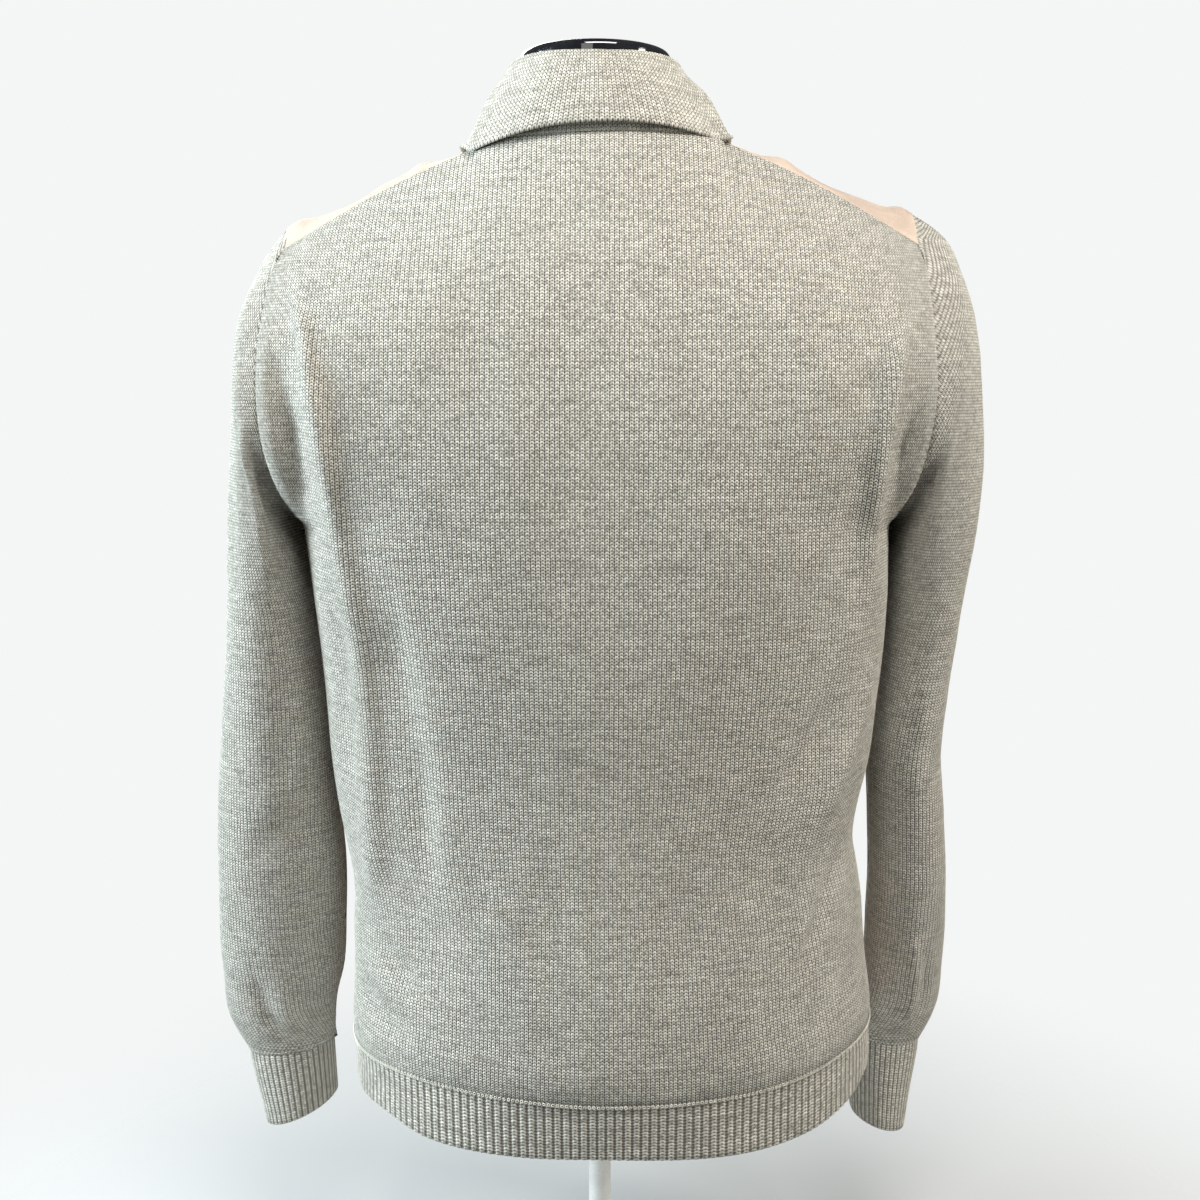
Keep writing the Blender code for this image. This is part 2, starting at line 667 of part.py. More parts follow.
def lay_over(p):
    """Lift a point of the leaf until its underside clears what it lies over."""
    for turn in range(4):
        q, n = min(ground, key=lambda g: (g[0] - p).length_squared)
        high = (p - q).dot(n)
        if high < COLLAR + LEAF_CLEAR:
            p = p + n * (COLLAR + LEAF_CLEAR - high)
    return p


def collar_section(psi):
    """Skin of the collar from the leaf's edge over the fold to the neck band."""
    side = 1 if psi >= 0 else -1
    a = abs(psi)
    crest, seam, out, stand_top, band_top, lean = band_line(psi)
    up = Vector((0, 0, 1))
    if a <= 90:
        edge = Vector((side * read(LEAF_BACK, "psi", "x", a) + SHIFT,
                       read(LEAF_BACK, "psi", "y", a),
                       read(LEAF_BACK, "psi", "z", a) - 0.0035 * side * out.x * side))
    else:
        u = side * read(LEAF_FRONT, "psi", "u", a)
        turn = read(LEAF_FRONT, "psi", "turn", a)
        edge = upper_front(u, turn) + panel_normal(u, turn) * (COLLAR + LEAF_CLEAR)
        side_edge = upper_front(side * 0.42, 356)
        held = Vector((side * read(LEAF_BACK, "psi", "x", 90) + SHIFT,
                       read(LEAF_BACK, "psi", "y", 90),
                       read(LEAF_BACK, "psi", "z", 90) - 0.0035 * side))
        side_edge += panel_normal(side * 0.42, 356) * (COLLAR + LEAF_CLEAR)
        edge += (held - side_edge) * (1 - ease((a - 90) / 40))
    outer = crest + out * FOLD - up * FOLD
    inner = crest - out * FOLD - up * FOLD
    leaf = [outer.lerp(edge, t) + out * LEAF_SWELL * math.sin(math.pi * t)
            for t in (1, 0.75, 0.50, 0.25)]
    if a > 60:
        leaf = [lay_over(p) for p in leaf]
    tip = crest + (out * 0.7 - up * 0.3) * FOLD
    heel = crest - (out * 0.7 + up * 0.3) * FOLD
    stand = [band_top.lerp(stand_top, t) - lean * COLLAR for t in (0.55, 0)]
    return leaf + [outer, tip, crest, heel, inner] + stand, (seam, band_top)


sections = [collar_section(a) for a in ANGLES]
collar_grid = [[section[0][j] for section in sections] for j in range(len(sections[0][0]))]
band_grid = [[section[1][j] for section in sections] for j in range(2)]

back = Cloth("back", back_grid, KNIT, "knit")
front_left = Cloth("front_left", front_grid(1), SUEDE, "suede")
front_right = Cloth("front_right", [line[::-1] for line in front_grid(-1)], SUEDE, "suede")
sleeve_left = Cloth("sleeve_left", sleeve_grid(1), KNIT, "knit", around=True)
sleeve_right = Cloth("sleeve_right", sleeve_grid(-1), KNIT, "knit", around=True)
neck_band = Cloth("neck_band", band_grid, COLLAR, "knit")
collar = Cloth("collar", collar_grid, COLLAR, "knit")
join_normals([back, front_left, front_right, sleeve_left, sleeve_right, neck_band])
for cloth in (back, front_left, front_right):
    build_cloth(cloth, {"u": EDGE, "d": EDGE, "l": EDGE, "r": EDGE})
for cloth in (sleeve_left, sleeve_right):
    # each sleeve is two lengths that meet at the elbow
    side = cloth.name.removeprefix("sleeve_")
    lower_length = cloth.length_of("sleeve_lower_" + side, 0, 14 - ELBOW)
    upper_length = cloth.length_of("sleeve_upper_" + side, 14 - ELBOW, 14)
    build_cloth(lower_length, {"u": EDGE, "d": 3.6 * EDGE})
    build_cloth(upper_length, {"u": 3.6 * EDGE, "d": EDGE})
build_cloth(neck_band, {"u": 2.2 * EDGE, "d": 2.2 * EDGE})
for i, n in enumerate(neck_band.normals[1]):
    collar.grid[-1][i] = neck_band.grid[1][i] - n * COLLAR
    collar.normals[-1][i] = -n
build_cloth(collar, {"u": EDGE})


# ---- ribbed bands: crests and furrows outside, a plain face inside ----
def rib_band(name, outer, inner, step, around):
    bm = bmesh.new()
    top = [[bm.verts.new(p) for p in line] for line in outer]
    low = [[bm.verts.new(p) for p in line] for line in inner]
    n = len(outer[0])
    m = len(inner[0])
    rows = len(outer)
    for skin, count in ((top, n), (low, m)):
        for j in range(rows - 1):
            for i in range(count if around else count - 1):
                k = (i + 1) % count
                bm.faces.new((skin[j][i], skin[j][k], skin[j + 1][k], skin[j + 1][i]))
    for j in (0, rows - 1):
        for i in range(m if around else m - 1):
            k = (i + 1) % m
            for s in range(step):
                a = top[j][(i * step + s) % n]
                b = top[j][(i * step + s + 1) % n]
                bm.faces.new((a, b, low[j][i if s < step // 2 + 1 else k]))
                if s == step // 2:
                    bm.faces.new((low[j][i], b, low[j][k]))
    if not around:
        for i, k in ((0, 0), (n - 1, m - 1)):
            for j in range(rows - 1):
                bm.faces.new((top[j][i], top[j + 1][i], low[j + 1][k], low[j][k]))
    return add_object(name, bm, "rib")


HEM_INSET = 0.0008         # the hem's crests stand this far inside the body's face
HEM_STEP = 5
CUFF_STEP = 3


def hem_point(beta, f, inset=0.0):
    """Hem face by angle round the body from the middle of the back, f from seam to edge."""
    face = 1 if abs(beta) <= 90 else -1
    u = math.sin(math.radians(beta))
    high = hem_line(face, "top", u) - EDGE
    z = high + (hem_line(face, "low", u) - high) * f
    n = read(BODY, "z", "square", z)
    d = read(BODY, "z", "back" if face > 0 else "front", z)
    w = half(u, z)
    return Vector((u * (w - inset), face * (d - inset) * fall(u, n, 1 / n), z))


def even_angles(count):
    """Angles that part the hem into equal lengths, from the left front edge round the back."""
    end = 180 - math.degrees(math.asin((FRONT_EDGE + EDGE) / 0.176))
    fine = [end - 2 * end * i / 1440 for i in range(1441)]
    run = [0.0]
    for a, b in zip(fine, fine[1:]):
        run.append(run[-1] + (hem_point(a, 0.5) - hem_point(b, 0.5)).length)
    out = []
    k = 0
    for i in range(count + 1):
        want = run[-1] * i / count
        while k < 1439 and run[k + 1] < want:
            k += 1
        s = (want - run[k]) / (run[k + 1] - run[k])
        out.append(fine[k] + (fine[k + 1] - fine[k]) * s)
    return out


hem_angles = even_angles(2 * HEM_RIBS)
hem_outer = []
hem_inner = []
for f in (0.0, 0.5, 1.0):
    deepen = HEM_INSET
    hem_outer.append([hem_point(b, f, deepen + (RIB_DEPTH if i % 2 else 0.0))
                      for i, b in enumerate(hem_angles)])
    hem_inner.append([hem_point(b, f, deepen + RIB) for b in hem_angles[::HEM_STEP]])
rib_band("hem_rib", hem_outer, hem_inner, HEM_STEP, False)


def cuff_point(side, k, turn, inset):
    tab = CUFF_LEFT if side > 0 else CUFF_RIGHT
    a = math.radians(turn)
    outer = Vector((side * read(tab, "k", "xo", k), 0, read(tab, "k", "zo", k)))
    inner = Vector((side * read(tab, "k", "xi", k), 0, read(tab, "k", "zi", k)))
    r = (outer - inner) / 2
    r *= 1 - inset / r.length
    deep = read(tab, "k", "depth", k) - inset
    return (outer + inner) / 2 + r * math.cos(a) + Vector((0, read(tab, "k", "mid", k)
                                                           + deep * math.sin(a), 0))


for side, name in ((1, "cuff_left"), (-1, "cuff_right")):
    turns = [360 * i / (2 * CUFF_RIBS) for i in range(2 * CUFF_RIBS)]
    outer = []
    inner = []
    for k in (0.008, 1, 2):
        outer.append([cuff_point(side, k, t, RIB_DEPTH if i % 2 else 0.0)
                      for i, t in enumerate(turns)])
        inner.append([cuff_point(side, k, t, RIB) for t in turns[::CUFF_STEP]])
    rib_band(name, outer, inner, CUFF_STEP, True)


# ---- zip: two tapes behind the front edges, the closed chain, slider and pull ----
TAPE_IN = 0.0033           # inner edge of each tape from the middle
TAPE_OUT = 0.0125
TAPE_AIR = 0.0005          # air between the tape and the cloth in front of it
CHAIN_HALF = 0.0030
CHAIN_WALL = 0.0026
CHAIN_SINK = 0.0003        # the chain's face stands this far inside the fronts' face
CHAIN_END = 0.0026         # the chain ends this far above the slider's middle
HEM_ROWS = (1.0, 0.5, 0.02)


def middle(kind, value):
    """Point on the middle line of the fronts' outer face."""
    if kind == "hem":
        return hem_point(180, value)
    return lower(-1, 0.0, value) if kind == "low" else upper_front(0.0, value)


for side, name in ((1, "zip_tape_left"), (-1, "zip_tape_right")):
    front = front_left if side > 0 else front_right
    edge_i, next_i = (0, 1) if side > 0 else (-1, -2)
    xs = (TAPE_IN, TAPE_OUT) if side > 0 else (-TAPE_OUT, -TAPE_IN)
    hem_part = [[Vector((x, *middle("hem", f).yz)) for x in xs] for f in HEM_ROWS]
    tape_part = []
    turned = []
    for line, normals in zip(front.grid, front.normals):
        first, second = line[edge_i], line[next_i]
        spots = [(x - first.x) / (second.x - first.x) for x in xs]
        tape_part.append([first.lerp(second, t) for t in spots])
        turned.append([normals[edge_i].lerp(normals[next_i], t) for t in spots])
    # the tape stops a little short of the neck seam
    for i in range(2):
        tape_part[-1][i] = tape_part[-2][i].lerp(tape_part[-1][i], 0.7)
        turned[-1][i] = turned[-2][i].lerp(turned[-1][i], 0.7)
    tape = Cloth(name, hem_part + tape_part, TAPE, "tape")
    for j in range(len(turned)):
        tape.normals[j + len(HEM_ROWS)] = turned[j]
    for j, line in enumerate(tape.grid):
        deep = HEM_INSET + RIB if j <= len(HEM_ROWS) else SUEDE
        for i in range(2):
            line[i] = line[i] - tape.normals[j][i] * (deep + TAPE_AIR)
    build_cloth(tape, "")

slide_mid = middle("up", 360)
slide_up = (middle("up", 380) - middle("up", 341)).normalized()
slide_out = Vector((0, -slide_up.z, slide_up.y))
SLIDE_ANGLE = math.atan2(-slide_up.y, slide_up.z)


def slide_point(x, y, z):
    """World point of the slider's own frame: y runs into the jacket, z up the zip."""
    return slide_mid + Vector((x, 0, 0)) - slide_out * y + slide_up * z


chain_rows = [("hem", f) for f in HEM_ROWS] + [("low", v) for v in LOW_ROWS]
chain_rows += [("up", t) for t in FRONT_TURNS if t <= 322]
chain_grid = [[Vector((x, *middle(*row).yz)) for x in (-CHAIN_HALF, CHAIN_HALF)]
              for row in chain_rows]
chain = Cloth("zip_chain", chain_grid, CHAIN_WALL, "metal")
for line, normals in zip(chain.grid, chain.normals):
    for i in range(2):
        line[i] = line[i] - normals[i] * CHAIN_SINK
for z in (-0.0080, CHAIN_END):
    chain.grid.append([slide_point(x, CHAIN_SINK, z) for x in (-CHAIN_HALF, CHAIN_HALF)])
    chain.normals.append([slide_out, slide_out])
build_cloth(chain, "")


def chain_depth(z):
    """How deep the chain's face lies in the slider's frame at height z."""
    spots = [((line[0] - slide_mid).dot(slide_up), -(line[0] - slide_mid).dot(slide_out))
             for line in chain.grid]
    for (za, ya), (zb, yb) in zip(spots, spots[1:]):
        if za <= z <= zb:
            return ya + (yb - ya) * (z - za) / (zb - za)
    return 0.0


def prism(outline, axis, lo, hi, name, kind=None, origin=(0, 0, 0)):
    """Solid from an outline across one axis; without a kind it is a cutter."""
    bm = bmesh.new()
    ends = []
    for level in (lo, hi):
        loop = []
        for a, b in outline:
            p = {"x": (level, a, b), "y": (a, level, b), "z": (a, b, level)}[axis]
            loop.append(bm.verts.new(p))
        ends.append(loop)
    n = len(outline)
    bm.faces.new(ends[0][::-1])
    bm.faces.new(ends[1])
    for i in range(n):
        k = (i + 1) % n
        bm.faces.new((ends[0][i], ends[0][k], ends[1][k], ends[1][i]))
    obj = add_object(name, bm, kind or "metal", origin)
    if kind is None:
        group.objects.unlink(obj)
        cutters.objects.link(obj)
        obj.hide_render = True
        obj.display_type = "WIRE"
    return obj


def disc(radius, count, y=0.0, z=0.0):
    return [(y + radius * math.cos(2 * math.pi * (i + 0.5) / count),
             z + radius * math.sin(2 * math.pi * (i + 0.5) / count)) for i in range(count)]


def join(obj, other, how="UNION"):
    step = obj.modifiers.new(other.name, "BOOLEAN")
    step.operation = how
    step.solver = "EXACT"
    step.object = other


PIN_Y = -0.0036            # the pull's pin stands this far in front of the fronts' face
plate = [(-0.0028, 0.0060), (-0.0045, 0.0042), (-0.0045, -0.0035), (-0.0030, -0.0060),
         (0.0030, -0.0060), (0.0045, -0.0035), (0.0045, 0.0042), (0.0028, 0.0060)]
slider = prism(plate, "y", -0.0014, 0.0, "zip_slider", "metal", tuple(slide_mid))
parts_of_slider = [
    prism(plate, "y", 0.0032, 0.0046, "cut_back_plate", None, tuple(slide_mid)),
    prism([(-0.0012, 0.0030), (0.0012, 0.0030), (0.0012, 0.0055), (-0.0012, 0.0055)], "y",
          -0.0007, 0.0039, "cut_post", None, tuple(slide_mid)),
    prism([(-0.0046, -0.0012), (-0.0007, -0.0014), (-0.0007, 0.0014), (-0.0046, 0.0012)], "x",
          0.0026, 0.0038, "cut_lug_left", None, tuple(slide_mid)),
    prism([(-0.0046, -0.0012), (-0.0007, -0.0014), (-0.0007, 0.0014), (-0.0046, 0.0012)], "x",
          -0.0038, -0.0026, "cut_lug_right", None, tuple(slide_mid)),
    prism(disc(0.0006, 12, PIN_Y), "x", -0.0032, 0.0032, "cut_pin", None, tuple(slide_mid)),
]
for piece in parts_of_slider:
    join(slider, piece)
for piece in [slider] + parts_of_slider:
    piece.rotation_euler = (SLIDE_ANGLE, 0, 0)

pin = slide_point(0, PIN_Y, 0)
PULL_AIR = 0.0006          # air between the resting pull's tab and the chain
pull_lean = min(math.atan2(chain_depth(-0.002 * n) - PULL_AIR - PIN_Y - 0.0006, 0.002 * n)
                for n in range(2, 14))
tab = [(-0.0021, 0.0), (-0.0021, -0.0100), (-0.0029, -0.0160), (-0.0029, -0.0235),
       (-0.0020, -0.0255), (0.0020, -0.0255), (0.0029, -0.0235), (0.0029, -0.0160),
       (0.0021, -0.0100), (0.0021, 0.0)]
pull = prism(disc(0.0018, 16), "x", -0.0021, 0.0021, "zip_pull", "metal", tuple(pin))
pull_parts = [prism(tab, "y", -0.0006, 0.0006, "cut_tab", None, tuple(pin)),
              prism(disc(0.00095, 12), "x", -0.0040, 0.0040, "cut_eye", None, tuple(pin))]
join(pull, pull_parts[0])
join(pull, pull_parts[1], "DIFFERENCE")
for piece in [pull] + pull_parts:
    piece.rotation_euler = (SLIDE_ANGLE + pull_lean, 0, 0)


# ---- dress form: torso without limbs, glossy neck cap, round foot ----
FORM_LOW = 0.120           # height of the torso's flat underside
NECK_R = 0.0460
CAP_R = 0.0490
CAP_TOP = 0.7985
NECK_CUT = 0.7500
FORM_ROWS = [-0.94, -0.78, -0.60, -0.40, -0.20, -0.04]
FORM_BACK_TURNS = [146, 128, 110, 92, 74, 56, 38]
FORM_FRONT_TURNS = [214, 232, 250, 268, 286, 304, 341]
FORM_U_LOW = [0.0] + NECK_INNER_U + [NECK_U, 0.50, 0.71, 0.88, 0.95, 1.0]
FORM_U_HIGH = [0.0] + NECK_INNER_U + [NECK_U, 0.50, 0.61, 0.71, 0.80, 0.88]


def form_clear(z):
    """Cloth and air between the torso and the jacket's outer face."""
    return 0.0110 - 0.0065 * ease((z - 0.42) / 0.20)


def form_point(face, i, value, low):
    """Torso point under the jacket's smooth face; i counts columns from the middle."""
    side = 1 if i >= 0 else -1
    high = ease((value + 0.4) / 0.36) if low else 1.0
    u = side * (FORM_U_LOW[abs(i)] * (1 - high) + FORM_U_HIGH[abs(i)] * high)

    def face_point(a, b):
        if low:
            return lower(face, a, b, False)
        return upper_back(a, b, False) if face > 0 else upper_front(a, b, False)

    near = u if abs(u) < 0.99 else side * 0.985
    step = 0.02 if low else 1.5
    across = face_point(near + 0.012, value) - face_point(near - 0.012, value)
    along = face_point(near, value + step) - face_point(near, value - step)
    n = across.cross(along).normalized()
    if n.y * face < 0:
        n = -n
    if low and abs(u) > 0.99:
        n = Vector((side, 0, 0))
    p = face_point(u, value)
    zip_room = 0.006 * (1 - ease(abs(u) / 0.4)) if face < 0 else 0.0
    return p - n * (form_clear(p.z) + zip_room)


bm = bmesh.new()
last_i = len(FORM_U_LOW) - 1
columns = list(range(-last_i, last_i + 1))
rings = []
for v in FORM_ROWS:
    ring = [form_point(1, i, v, True) for i in columns[::-1]]
    ring += [form_point(-1, i, v, True) for i in columns[1:-1]]
    if not rings:
        for share, z in ((0.90, FORM_LOW), (0.97, FORM_LOW + 0.012)):
            rings.append([Vector((p.x * share, p.y * share, z)) for p in ring])
    rings.append(ring)
skin = [[bm.verts.new(p) for p in ring] for ring in rings]
for a, b in zip(skin, skin[1:]):
    for i in range(len(a)):
        k = (i + 1) % len(a)
        bm.faces.new((a[i], a[k], b[k], b[i]))
bm.faces.new(skin[0][::-1])
n_col = len(columns)
# above the armpits the arm plates part the back from the front
back_line = skin[-1][:n_col]
front_line = [skin[-1][n_col - 1]] + skin[-1][n_col:] + [skin[-1][0]]
for tb, tf in zip(FORM_BACK_TURNS, FORM_FRONT_TURNS):
    new_back = [bm.verts.new(form_point(1, i, tb, False)) for i in columns[::-1]]
    new_front = [bm.verts.new(form_point(-1, i, tf, False)) for i in columns]
    for old, new in ((back_line, new_back), (front_line, new_front)):
        for i in range(n_col - 1):
            bm.faces.new((old[i], old[i + 1], new[i + 1], new[i]))
    for ob, of, nb, nf in ((back_line[-1], front_line[0], new_back[-1], new_front[0]),
                           (front_line[-1], back_line[0], new_front[-1], new_back[0])):
        bm.faces.new((ob, of, nf, nb) if ob is not of else (ob, nf, nb))
    back_line, front_line = new_back, new_front
# shoulder seam, shoulder ridge, and the neck's ring between the ridge's two inner ends
crown = {}
seam_row = {}
fore_row = {}
back_ring = {}
front_ring = {}
ring_turn = {3: 67.5, 2: 45, 1: 22.5, 0: 0, -1: -22.5, -2: -45, -3: -67.5}


def neck_point(psi):
    p = neck_seam(psi)
    return Vector((p.x * 0.88, p.y * 0.88, p.z - 0.005))


for i in columns:
    u = math.copysign(FORM_U_HIGH[abs(i)], i)
    if abs(i) >= 4:
        top = upper_front(u, 360, False) - Vector((0, 0, SUEDE + 0.0008))
        if abs(i) == 4:
            top = Vector((top.x * 0.89, top.y, top.z - 0.0060))
        crown[i] = bm.verts.new(top)
        seam_row[i] = bm.verts.new(upper_back(u, 20, False) - Vector((0, 0.0030, 0.0040)))
        continue
    back_ring[i] = bm.verts.new(neck_point(ring_turn[i]))
    side = 1 if i >= 0 else -1
    front_ring[i] = bm.verts.new(neck_point(side * 180 - ring_turn[i]))
    fore_row[i] = bm.verts.new(form_point(-1, i, 360, False))
    seam_row[i] = bm.verts.new(back_line[last_i - i].co.lerp(back_ring[i].co, 0.5))
back_ring[0].co.x = 0.0
front_ring[0].co.x = 0.0


def quads(low, high):
    for k in range(len(low) - 1):
        face = [low[k], low[k + 1], high[k + 1], high[k]]
        face = [v for n, v in enumerate(face) if v is not face[n - 1]]
        if len(face) > 2:
            bm.faces.new(face)


back_order = columns[::-1]
seam_line = [seam_row[i] for i in back_order]
quads(back_line, seam_line)
quads(seam_line, [crown.get(i) or back_ring[i] for i in back_order])
fore_line = [crown.get(i) or fore_row[i] for i in columns]
quads(front_line, fore_line)
quads(fore_line, [crown.get(i) or front_ring[i] for i in columns])
bm.faces.new((back_line[-1], front_line[0], crown[-last_i], seam_row[-last_i]))
bm.faces.new((front_line[-1], back_line[0], seam_row[last_i], crown[last_i]))
ring = ([crown[4]] + [back_ring[i] for i in (3, 2, 1, 0, -1, -2, -3)] + [crown[-4]]
        + [front_ring[i] for i in (-3, -2, -1, 0, 1, 2, 3)])
for share, z in ((0.55, 0.7420), (1.0, 0.7450), (1.0, NECK_CUT)):
    new = []
    for vert in ring:
        a = math.atan2(vert.co.x - SHIFT, vert.co.y - 0.003)
        goal = Vector((SHIFT + NECK_R * math.sin(a), 0.003 + NECK_R * math.cos(a), z))
        new.append(bm.verts.new(vert.co.lerp(goal, share)))
    for i in range(len(ring)):
        k = (i + 1) % len(ring)
        bm.faces.new((ring[i], ring[k], new[k], new[i]))
    ring = new
bm.faces.new(ring)
add_object("form_torso", bm, "form")


def lathe(name, profile, kind, centre, segments=32):
    """Closed solid turned round a vertical axis from (radius, height) points."""
    bm = bmesh.new()
    loops = []
    for r, z in profile:
        loops.append([bm.verts.new((r * math.cos(2 * math.pi * i / segments),
                                    r * math.sin(2 * math.pi * i / segments), z))
                      for i in range(segments)])
    for a, b in zip(loops, loops[1:]):
        for i in range(segments):
            k = (i + 1) % segments
            bm.faces.new((a[i], a[k], b[k], b[i]))
    bm.faces.new(loops[0][::-1])
    bm.faces.new(loops[-1])
    return add_object(name, bm, kind, centre)


lathe("form_neck_cap", [(CAP_R - 0.001, NECK_CUT + 0.0003), (CAP_R, NECK_CUT + 0.0013),
                        (CAP_R, CAP_TOP - 0.004), (CAP_R - 0.0012, CAP_TOP - 0.0012),
                        (CAP_R - 0.004, CAP_TOP)], "gloss", (SHIFT, 0.003, 0))
FOOT_R = 0.110
POLE_R = 0.008
lathe("form_foot", [(FOOT_R - 0.002, 0.0), (FOOT_R, 0.0015), (FOOT_R, 0.0045),
                    (FOOT_R - 0.002, 0.006), (0.040, 0.009), (0.014, 0.013), (POLE_R, 0.020),
                    (POLE_R, STAND + FORM_LOW - 0.006), (0.020, STAND + FORM_LOW - 0.0003)],
      "form", (0, 0, -STAND), 40)
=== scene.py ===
import math
import bmesh
import bpy
import numpy as np
from mathutils import Euler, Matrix, Vector, kdtree, noise


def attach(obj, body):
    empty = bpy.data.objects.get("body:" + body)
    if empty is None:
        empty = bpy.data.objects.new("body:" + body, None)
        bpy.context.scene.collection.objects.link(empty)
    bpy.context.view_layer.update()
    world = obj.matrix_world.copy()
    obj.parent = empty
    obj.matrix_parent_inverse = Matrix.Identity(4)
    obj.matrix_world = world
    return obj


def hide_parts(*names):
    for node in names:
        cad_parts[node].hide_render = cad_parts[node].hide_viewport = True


# Looks of the knit jacket and of the dress form that carries it, in metres.
# The fronts face -Y, the back faces +Y, and the wearer's left is +X.
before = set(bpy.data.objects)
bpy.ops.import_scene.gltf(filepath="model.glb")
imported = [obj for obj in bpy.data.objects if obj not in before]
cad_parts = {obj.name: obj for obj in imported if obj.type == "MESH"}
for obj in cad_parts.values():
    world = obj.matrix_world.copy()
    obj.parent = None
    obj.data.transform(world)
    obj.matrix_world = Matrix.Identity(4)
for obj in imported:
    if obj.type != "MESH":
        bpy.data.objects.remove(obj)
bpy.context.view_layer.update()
print("frame loaded")

# sizes that every piece shares
cut = dict(
    armpit=0.495, frontEdge=0.0055, neckHalf=0.080, neckY=0.026, neckBack=0.042,
    neckFront=0.108, neckTop=0.7385, neckRise=0.0018, neckDrop=0.072,
    shoulderHalf=0.2085, shoulderFall=0.527, tilt=0.002,
    shoulderBow=0.0050,      # the shoulder seam bows up between neck and sleeve
    stand=0.092,             # the foot lifts everything drawn here by this much
    drawBack=0.0002,         # a sewn edge stops this far short of its seam
    waleWidth=0.00287,       # width of one stitch at the middle of the back
    courseHeight=0.00195,
    blouseRise=0.0020,       # the body swells this much, this far above the hem seam
    blouseUp=0.013, blouseSpread=0.010,
)


# table columns that aren't lengths
plainColumns = {"u", "turn", "k", "psi", "arm", "square"}
bothSides = ((1, "left"), (-1, "right"))


def table(names, rows):
    # lengths are written in mm and kept in metres
    return {key: [row[i] / (1 if key in plainColumns else 1000) for row in rows]
            for i, key in enumerate(names.split())}


def inMetres(paths):
    return [[tuple(v / 1000 for v in point) for point in path] for path in paths]


def addObject(name, data):
    obj = bpy.data.objects.new(name, data)
    bpy.context.scene.collection.objects.link(obj)
    return obj


def meshOf(bm, name):
    mesh = bpy.data.meshes.new(name)
    bm.to_mesh(mesh)
    bm.free()
    return mesh


def shade(mesh, smooth=True):
    mesh.polygons.foreach_set("use_smooth", [smooth] * len(mesh.polygons))


# body: height, half widths, depths and squareness of the section
bodyTable = table("z left right back front square", [
    (95, 174.5, 193, 135, 125, 2.35), (138, 176, 193, 138.5, 129, 2.15),
    (160, 175, 192, 139, 130, 2.1), (190, 173.8, 188, 134.5, 127.5, 2.1),
    (212, 174, 186, 130, 125, 2.1), (232, 172.8, 184.3, 126, 123.5, 2.12),
    (254, 174.2, 180.8, 122.5, 122.5, 2.15), (275, 178.5, 177.2, 120, 122, 2.15),
    (297, 182.5, 179.5, 118.5, 122.5, 2.18), (332, 186.5, 187.2, 118, 125.5, 2.2),
    (374, 188.5, 190.8, 119.5, 130.5, 2.3), (409, 191, 194, 121.5, 134, 2.38),
    (443, 194, 195, 123.5, 136, 2.5), (475, 196.5, 194, 124.5, 136.5, 2.68),
    (495, 198, 193.5, 124.8, 135.5, 2.8), (560, 200, 200, 124.5, 129, 2.8),
    (620, 205, 205, 120, 112, 2.8), (680, 208.5, 208.5, 113, 90, 2.8),
    (740, 208.5, 208.5, 105, 82, 2.8),
])

# hem seam and hem edge, right side seam to left side seam
hemBack = table("u top low", [
    (-0.95, 146, 114), (-0.87, 144.7, 107.5), (-0.71, 140.5, 100), (-0.45, 137, 96),
    (0, 136, 98), (0.33, 138.5, 98), (0.65, 140, 100), (0.83, 138.5, 106), (0.95, 136, 105),
])
hemFront = table("u top low", [
    (-0.95, 146, 114), (-0.6, 140, 103), (0, 136, 99), (0.6, 134, 100), (0.95, 136, 105),
])

# armhole seam, by angle round it from the shoulder ridge by the back to the armpit
armholeLeft = table("turn x y z", [
    (0, 208.5, -2, 689), (20, 208.5, 26, 671.5), (45, 211.5, 48, 648), (70, 215.5, 65, 610),
    (90, 216, 71, 578), (110, 214, 68, 548), (135, 208.5, 53, 519), (160, 202, 22, 500),
    (180, 198, 0, 495), (200, 198.5, -22, 500), (225, 199, -44, 519), (250, 197.5, -56, 550),
    (270, 197, -60, 583), (290, 199, -56, 619), (315, 204, -40, 658), (340, 207.5, -20, 682),
    (360, 208.5, -2, 689),
])
armholeRight = table("turn x y z", [
    (0, 208.5, -2, 698), (20, 208.5, 26, 675.5), (45, 209.5, 48, 651), (70, 211.5, 63, 612),
    (90, 212.5, 68, 580), (110, 209.5, 65, 550), (135, 203.5, 52, 520), (160, 196.5, 22, 500),
    (180, 193.5, 0, 495), (200, 194.5, -22, 500), (225, 196, -44, 519), (250, 196, -56, 550),
    (270, 197, -60, 584), (290, 199, -56, 621), (315, 204, -40, 662), (340, 207.5, -20, 688),
    (360, 208.5, -2, 698),
])

# shoulder ridge above the shoulder seam, by distance from the middle
ridgeTable = table("x rise", [
    (80, 3), (100, 4.6), (120, 7.7), (150, 8), (180, 11.8), (208.5, 20),
])

